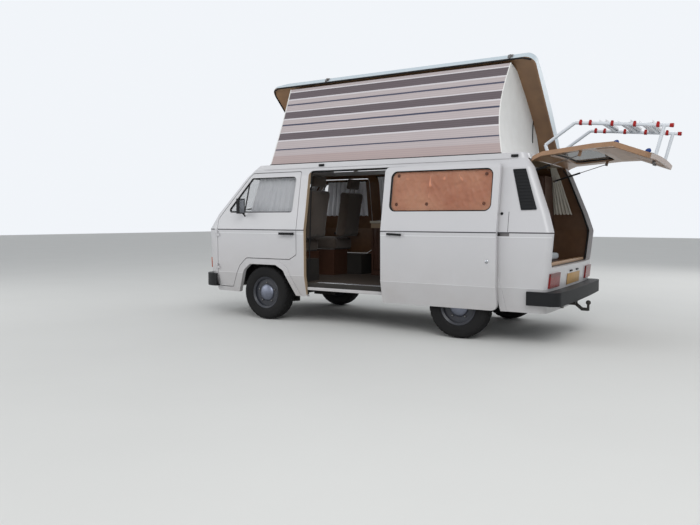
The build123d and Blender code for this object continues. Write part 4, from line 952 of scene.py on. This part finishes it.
# Blind on the sliding door's pane: foil sheet held by five suction cups
blind_middle_x, blind_middle_z = 2.263, 1.488


def blind_point(u, v):
    """Crumpled sheet that fills the pane's outline, with its corners rounded to the pane's."""
    half_x, half_z, corner = 0.545, 0.203, 0.065
    px, pz = (2 * u - 1) * half_x, (2 * v - 1) * half_z
    cx, cz = half_x - corner, half_z - corner
    dx, dz = max(abs(px) - cx, 0), max(abs(pz) - cz, 0)
    if dx > 0 and dz > 0:
        shrink = max(dx, dz) / (dx * dx + dz * dz) ** 0.5
        px = (cx + dx * shrink) * (1 if px > 0 else -1)
        pz = (cz + dz * shrink) * (1 if pz > 0 else -1)
    edge = min(1, (1 - abs(2 * u - 1)) * 9) * min(1, (1 - abs(2 * v - 1)) * 4)
    crumple = 0.8 * noise.noise(Vector((px * 9, pz * 8, 1.5))) + 0.5 * noise.noise(Vector((px * 30, pz * 26, 4.5)))
    crumple += 1.2 * abs(noise.noise(Vector((px * 17 + pz * 9, pz * 7, 9.5)))) - 0.3
    crease = exp(-((px + 0.115 - 0.03 * pz) / 0.006) ** 2) * (0.4 + 0.6 * (pz > -0.08))
    z = blind_middle_z + pz
    y = half_width(z) + slide_out - 0.0310 - (0.0100 + 0.006 * v) * crumple * (0.2 + 0.8 * edge) + 0.009 * crease
    return Vector((axle_x + blind_middle_x + px, -y, z))


blind = cloth_sheet("window_blind", 150, 60, blind_point, (1.09, 0.406))
cups = []
for u, v in ((0.055, 0.17), (0.375, 0.17), (0.935, 0.17), (0.06, 0.90), (0.94, 0.88)):
    cups.append(turned([(-0.007, 0.017), (-0.004, 0.018), (0.001, 0.013), (0.004, 0.006), (0.005, 0.001)],
                       blind_point(u, v) + Vector((0, -0.002, 0)), (0, 1, 0), 24))
cup_set = settle(joined(cups), "blind_suction_cups", cup_vinyl)
finished_sheet(blind, "window_blind", blind_foil, thickness=0.001)


# Padded seats and cushions, swollen by simulation from a slightly smaller shape
swell_steps = 20


def padded(low, high, voxel, cap, edge=0.03, shape=None):
    """Cushion between two corners: remeshed, swollen under pressure with its movement capped, and smoothed."""
    piece = rounded_block(low, high, edge, 4)
    if shape:
        piece.data.transform(shape)
    pick_alone(piece)
    piece.data.remesh_voxel_size = voxel
    bpy.ops.object.voxel_remesh()
    rest = [v.co.copy() for v in piece.data.vertices]
    swell = piece.modifiers.new("swell", "CLOTH")
    swell.settings.use_pressure = True
    swell.settings.uniform_pressure_force = 4
    swell.settings.effector_weights.gravity = 0
    swell.settings.quality = 4
    swell.settings.tension_stiffness = 15
    swell.settings.compression_stiffness = 15
    swell.settings.bending_stiffness = 0.6
    swell.point_cache.frame_start = 1
    swell.point_cache.frame_end = swell_steps
    for step in range(1, swell_steps + 1):
        bpy.context.scene.frame_set(step)
    bpy.ops.object.modifier_apply(modifier="swell")
    bpy.context.scene.frame_set(1)
    for vertex, start in zip(piece.data.vertices, rest):
        move = vertex.co - start
        if move.length > cap:
            vertex.co = start + move * (cap / move.length)
    apply_modifier(piece, "SMOOTH", factor=0.5, iterations=3)
    apply_modifier(piece, "SUBSURF", levels=1, render_levels=1)
    return piece


def press_channels(piece, along, places, look, depth, width):
    """Sewn channels: the cloth drawn in along lines across a piece, on the side that it looks."""
    piece.data.update()
    way = Vector(look).normalized()
    facings = [max(0, vertex.normal.dot(way)) for vertex in piece.data.vertices]
    for vertex, facing in zip(piece.data.vertices, facings):
        pull = sum(exp(-((vertex.co[along] - place) / width) ** 2) for place in places)
        vertex.co -= way * depth * facing * min(pull, 1)
    piece.data.update()


seat_low, seat_high = at(-0.178, -0.625, 0.812), at(0.318, -0.175, 0.950)
lean = Matrix.Translation(at(0.352, -0.400, 0.965)) @ Matrix.Rotation(radians(8.2), 4, "Y")
seat_channels_y = (-0.535, -0.265)
for name, piece, look in (
    ("seat_cushion", padded(seat_low, seat_high, 0.009, 0.016), (0, 0, 1)),
    ("seat_back", padded((-0.052, -0.222, 0.0), (0.052, 0.222, 0.600), 0.009, 0.016, shape=lean), (-1, 0, 0.14)),
    ("head_rest", padded((-0.030, -0.122, 0.632), (0.034, 0.122, 0.762), 0.007, 0.010, 0.022, shape=lean), None),
):
    if look:
        press_channels(piece, 1, seat_channels_y, look, 0.010, 0.012)
    for side in ("left", "right"):
        pad = piece if side == "left" else copied(piece, mirror_y)
        settle(pad, f"{side}_{name}", seat_cloth, sharp=70)
        if (side, name) == ("left", "seat_cushion"):
            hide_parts("cab_seats")
for side, way in (("left", -1), ("right", 1)):
    stems = [tube_along([lean @ Vector((0, y, 0.575)), lean @ Vector((0, y, 0.660))], 0.006) for y in (-0.055, 0.055)]
    seat_frame = joined(stems + [rounded_block(at(-0.150, -0.600, 0.800), at(0.290, -0.200, 0.814), 0.005)])
    if way > 0:
        seat_frame.data.transform(mirror_y)
        seat_frame.data.flip_normals()
    settle(seat_frame, f"{side}_seat_frame", zinc_steel)

bench_channels_y, bed_channels_x = (-0.19, 0.11), (axle_x + 2.46, axle_x + 2.80)
for name, low, high, voxel, cap, along, places, look, cover in (
    ("bench_cushion", at(1.606, -0.494, 0.806), at(1.954, 0.414, 0.904), 0.012, 0.012, 1, bench_channels_y,
     (0, 0, 1), seat_cloth),
    ("bench_back", at(1.968, -0.494, 0.806), at(2.050, 0.414, 1.322), 0.012, 0.010, 1, bench_channels_y,
     (-1, 0, 0), seat_cloth),
    ("rear_mattress", at(2.118, -0.572, 0.766), at(3.142, 0.402, 0.834), 0.016, 0.012, 0, bed_channels_x,
     (0, 0, 1), bed_ticking),
):
    pad = padded(low, high, voxel, cap, 0.022)
    press_channels(pad, along, places, look, 0.010, 0.016)
    settle(pad, name, cover, sharp=70)
    if name == "bench_cushion":
        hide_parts("bench_cushions")

# Furniture: cupboard doors with their knobs, sink, tap, hob with its burners, fascia, wardrobe door and sill board
for number, (x0, x1) in enumerate(((0.735, 0.995), (1.000, 1.260), (1.265, 1.525))):
    door = sunk_face(rounded_block(at(x0, 0.462, 0.540), at(x1, 0.478, 1.112), 0.003), (0, -1, 0), 0.045, 0.004)
    settle(door, f"cupboard_door_{number + 1}", teak_veneer)
    knob = turned([(0, 0.007), (0.012, 0.006), (0.016, 0.013), (0.022, 0.014), (0.025, 0.010), (0.026, 0.001)],
                  at(x1 - 0.030, 0.463, 0.980), (0, -1, 0), 24)
    settle(knob, f"cupboard_knob_{number + 1}", bright_steel)
sink = sunk_face(rounded_block(at(0.760, 0.480, 1.176), at(1.070, 0.790, 1.188), 0.004), (0, 0, 1), 0.022, 0.005)
settle(sink, "sink_rim", bright_steel)
tap = tube_along([at(0.915, 0.810, 1.180), at(0.915, 0.810, 1.300), at(0.915, 0.800, 1.335), at(0.915, 0.720, 1.340),
                  at(0.915, 0.690, 1.310)], 0.009, smooth=True)
settle(tap, "sink_tap", bright_steel)
hob = sunk_face(rounded_block(at(1.150, 0.480, 1.178), at(1.530, 0.790, 1.192), 0.004), (0, 0, 1), 0.016, 0.003)
settle(hob, "hob_plate", bright_steel)
burners = []
for x in (1.245, 1.435):
    burners.append(turned([(0, 0.040), (0.010, 0.040), (0.014, 0.030), (0.015, 0.001)],
                          at(x, 0.640, 1.188), (0, 0, 1), 32))
    for turn in range(4):
        angle = pi / 4 + turn * pi / 2
        way = Vector((cos(angle), sin(angle), 0))
        burners.append(tube_along([at(x, 0.640, 1.208) + way * reach for reach in (0.018, 0.085)], 0.0035))
settle(joined(burners), "hob_burners", black_plastic)
fascia = rounded_block(at(0.692, 0.452, 1.086), at(1.575, 0.466, 1.148), 0.004)
settle(fascia, "worktop_fascia", cream_board)
wardrobe = sunk_face(rounded_block(at(2.660, 0.424, 0.770), at(2.930, 0.440, 1.670), 0.003), (0, -1, 0), 0.040, 0.004)
settle(wardrobe, "wardrobe_door", teak_veneer)
sill_board = rounded_block(at(3.268, -0.800, 0.7455), at(3.318, 0.740, 0.778), 0.004, 3)
settle(sill_board, "load_sill_board", pale_ply)

# Cab: steering wheel boss, instrument cowl with two blank dials, and gear lever
column = Vector((0.6, 0, 0.8))
boss = turned([(-0.004, 0.044), (0.004, 0.062), (0.012, 0.060), (0.018, 0.046), (0.020, 0.001)],
              at(-0.405, 0.400, 1.125) + column * 0.004, column, 40)
settle(boss, "steering_boss", black_plastic, "steering")
cowl = sunk_face(rounded_block(at(-0.700, 0.210, 1.205), at(-0.560, 0.590, 1.265), 0.020, 4), (1, 0, 0), 0.004, 0.020)
settle(cowl, "instrument_cowl", black_plastic)
dials = [turned([(0, 0.038), (0.004, 0.040), (0.006, 0.036), (0.004, 0.034), (0.004, 0.001)],
                at(-0.582, y, 1.234), (1, 0, 0), 40) for y in (0.330, 0.470)]
settle(joined(dials), "blank_dials", bright_steel)
lever_points = [at(-0.300, 0.060, 0.480), at(-0.310, 0.060, 0.620), at(-0.250, 0.065, 0.780)]
knob = turned([(-0.020, 0.010), (-0.010, 0.020), (0.006, 0.024), (0.020, 0.016), (0.026, 0.001)],
              lever_points[-1], (0.2, 0, 1), 28)
settle(joined([tube_along(lever_points, 0.008, smooth=True), knob]), "gear_lever", black_plastic)

# Cab doors: armrest and winder inside, mirror glass outside
for side, way in (("left", -1), ("right", 1)):
    inner = way * (half_width(1.0) - 0.045)
    rest = rounded_block(at(-0.120, inner - way * 0.055, 0.985), at(0.250, inner, 1.020), 0.012, 3)
    winder = turned([(0, 0.026), (0.010, 0.026), (0.014, 0.020), (0.015, 0.001)],
                    at(-0.300, inner, 0.930), (0, -way, 0), 28)
    arm = bar_between(at(-0.300, inner - way * 0.016, 0.930), at(-0.215, inner - way * 0.024, 0.890), 0.018, 0.008,
                      (0, way, 0))
    settle(joined([rest, winder, arm]), f"{side}_door_armrest", black_plastic, f"{side}_door")
    y0, y1 = sorted((way * 0.948, way * 1.032))
    mirror = sunk_face(rounded_block(at(-0.258, y0, 1.276), at(-0.2545, y1, 1.428), 0.0015), (1, 0, 0), 0.004, 0.001)
    settle(mirror, f"{side}_mirror_glass", bright_steel, f"{side}_door")

# Tail: seal round the opening, and the gate's trim board, strip of painted shade in its belt groove, latch and handle
gate_edge = [(0.560, 0.741), (0.760, 0.742), (0.815, 0.752), (0.836, 0.790), (0.846, 0.930), (0.851, 1.060),
             (0.846, 1.110), (0.818, 1.270), (0.752, 1.690), (0.742, 1.770)]
seal_behind = 0.0575          # how far the seal lies inside the tail's skin, clear of the closed gate
seal_points = [at(tail_skin(z, y) - seal_behind, -y + 0.006, z) for y, z in reversed(gate_edge)]
seal_points += [at(tail_skin(z, y) - seal_behind, y - 0.006, z) for y, z in gate_edge]
settle(tube_along(seal_points, 0.009, resolution=3), "tailgate_seal", window_rubber)
board = skin_patch("tailgate_panel", (None, -0.690, 0.800), (None, 0.690, 1.240), (-1, 0, -0.1), 0.005, 0.6,
                   open_by=gate_up)
settle(board, "gate_trim_board", tan_board, "tailgate")
gate_shade_strip = skin_patch("tailgate_panel", (None, None, belt_strip_z[0]), (None, None, belt_strip_z[1]), (1, 0, 0),
                        0.0045, 0.4, open_by=gate_up)
settle(gate_shade_strip, "tailgate_belt_shade_strip", belt_shade_rubber, "tailgate")
latch = joined([rounded_block((-0.030, -0.030, -0.014), (0.006, 0.030, 0.014), 0.004),
                rounded_block((-0.042, -0.012, -0.030), (-0.020, 0.012, 0.004), 0.003)])
latch.data.transform(gate_up @ Matrix.Translation(at(3.345, 0, 0.830)))
settle(latch, "gate_latch", zinc_steel, "tailgate")
grip = sunk_face(rounded_block((-0.002, -0.055, -0.020), (0.016, 0.055, 0.020), 0.006, 3), (1, 0, 0), 0.006, 0.006)
grip.data.transform(gate_up @ Matrix.Translation(at(tail_skin(0.860, 0), 0, 0.860)))
settle(grip, "gate_handle", black_plastic, "tailgate")

# Rear panel: blank pressed plate with a raised border, its two lamps, and the tail pipe below
plate_foot, plate_head = [at(tail_skin(z, 0) + 0.0035, 0, z) for z in (0.545, 0.656)]
upright, across = (plate_head - plate_foot).normalized(), Vector((0, 1, 0))
plate = sunk_face(rounded_block((-0.002, -0.260, -0.0555), (0.002, 0.260, 0.0555), 0.0012), (1, 0, 0), 0.006, 0.001)
turn = Matrix((upright.cross(across), across, upright)).transposed().to_4x4()
plate.data.transform(Matrix.Translation((plate_foot + plate_head) / 2) @ turn)
settle(plate, "rear_plate", plate_shaded_yellow)
plate_lamps = [rounded_block(at(3.368, y - 0.040, 0.672), at(3.398, y + 0.040, 0.690), 0.004) for y in (-0.130, 0.130)]
settle(joined(plate_lamps), "plate_lamps", black_plastic)
exhaust = tube_along([at(3.240, -0.150, 0.380), at(3.255, -0.290, 0.370), at(3.300, -0.360, 0.345),
                      at(3.380, -0.370, 0.335)], 0.021, smooth=True, resolution=5)
settle(exhaust, "exhaust_tail_pipe", zinc_steel)

# Cycle rack: troughs on the cross tubes, clamps and end caps
rack_y = 0.350
rack_fall = 0.086 / 0.880     # how far the side tubes drop per metre towards their ends


def rack_top(x):
    """Height of the side tubes' middle at a length."""
    return 2.144 - (x - 3.445) * rack_fall


troughs = []
for x, half in ((3.700, 0.030), (3.895, 0.058), (4.085, 0.058)):
    base = rack_top(x) + 0.014
    for low_x, high_x, top in ((x - half, x + half, 0.004), (x - half, x - half + 0.004, 0.026),
                               (x + half - 0.004, x + half, 0.026)):
        troughs.append(rounded_block(at(low_x, -0.345, base), at(high_x, 0.345, base + top), 0.0012))
settle(joined(troughs), "wheel_troughs", white_plastic, "tailgate")

slope = Vector((1, 0, -rack_fall)).normalized()
clamps, caps = [], []
for y in (-rack_y, rack_y):
    for x in (3.500, 3.590, 3.790, 3.990, 4.190):
        middle = at(x, y, rack_top(x))
        clamps.append(turned([(-0.014, 0.019), (-0.012, 0.022), (0.012, 0.022), (0.014, 0.019)], middle, slope, 24))
        clamps.append(rounded_block(middle + Vector((-0.012, -0.009, 0.014)), middle + Vector((0.012, 0.009, 0.032)),
                                    0.005))
    tip = at(4.311, y, rack_top(4.311))
    caps.append(turned([(-0.022, 0.018), (0.004, 0.020), (0.012, 0.018), (0.015, 0.001)], tip, slope, 24))
settle(joined(clamps), "rack_clamps", red_plastic, "tailgate")
settle(joined(caps), "rack_end_caps", red_plastic, "tailgate")
# Clamp knobs where the rack grips the gate's edge
knobs = [turned([(-0.030, 0.007), (0.0, 0.007), (0.002, 0.020), (0.010, 0.024), (0.026, 0.024), (0.032, 0.018),
                 (0.034, 0.001)], at(x, -0.655, z), (-0.25, -0.45, 0.85), 20)
         for x, z in ((3.890, 1.885), (4.160, 1.795))]
settle(joined(knobs), "rack_knobs", blue_plastic, "tailgate")


# Floor, light and camera
pick_alone(None)
bpy.ops.mesh.primitive_plane_add(size=90, location=(0, 0, 0))
floor = bpy.context.object
floor.name = "studio_floor"
floor.data.materials.append(patchy("studio_floor_paint", None, "#DEDEDB", "#D8D8D5", 0.8, Roughness=0.9))

world = bpy.data.worlds.new("studio_sky")
bpy.context.scene.world = world
world.use_nodes = True
sky = world.node_tree
background = sky.nodes["Background"]
# The sky is brighter where it is looked at, mirrored or seen through glass than where it lights the van
ray = add_node(sky, "ShaderNodeLightPath").outputs
mirrored_ray = add_node(sky, "ShaderNodeMath", {0: ray["Is Camera Ray"], 1: ray["Is Glossy Ray"]}, operation="MAXIMUM")
looked_at = add_node(sky, "ShaderNodeMath", {0: mirrored_ray.outputs[0], 1: ray["Is Transmission Ray"]},
                     operation="MAXIMUM")
add_node(sky, "ShaderNodeMapRange", {"Value": looked_at.outputs[0], "To Min": 0.55, "To Max": 0.95},
         feeds=background.inputs["Strength"])
background.inputs["Color"].default_value = (0.93, 0.96, 1.0, 1)

for name, spot, aim, size, power in (
    ("key_light", (5.5, -8.5, 7.5), (0, 0, 1), 6.0, 480),
    ("fill_light", (-8.0, -6.0, 4.5), (0, 0, 1), 7.0, 200),
    ("back_light", (4.0, 8.5, 6.5), (0, 0, 1.5), 6.0, 240),
):
    lamp = bpy.data.lights.new(name, "AREA")
    lamp.energy = power
    lamp.size = size
    light = bpy.data.objects.new(name, lamp)
    light.location = spot
    light.rotation_euler = (Vector(aim) - Vector(spot)).to_track_quat("-Z", "Y").to_euler()
    bpy.context.scene.collection.objects.link(light)

# The photograph's camera, fitted to the van's own points
lens = bpy.data.cameras.new("photo_camera")
lens.sensor_width = 36
lens.lens = 34.29
camera = bpy.data.objects.new("photo_camera", lens)
camera.location = (3.3837, -7.1188, 1.1872)
camera.rotation_euler = (radians(86.374), radians(-0.149), radians(31.565))
bpy.context.scene.collection.objects.link(camera)
bpy.context.scene.camera = camera

bpy.context.scene.view_settings.view_transform = "Standard"
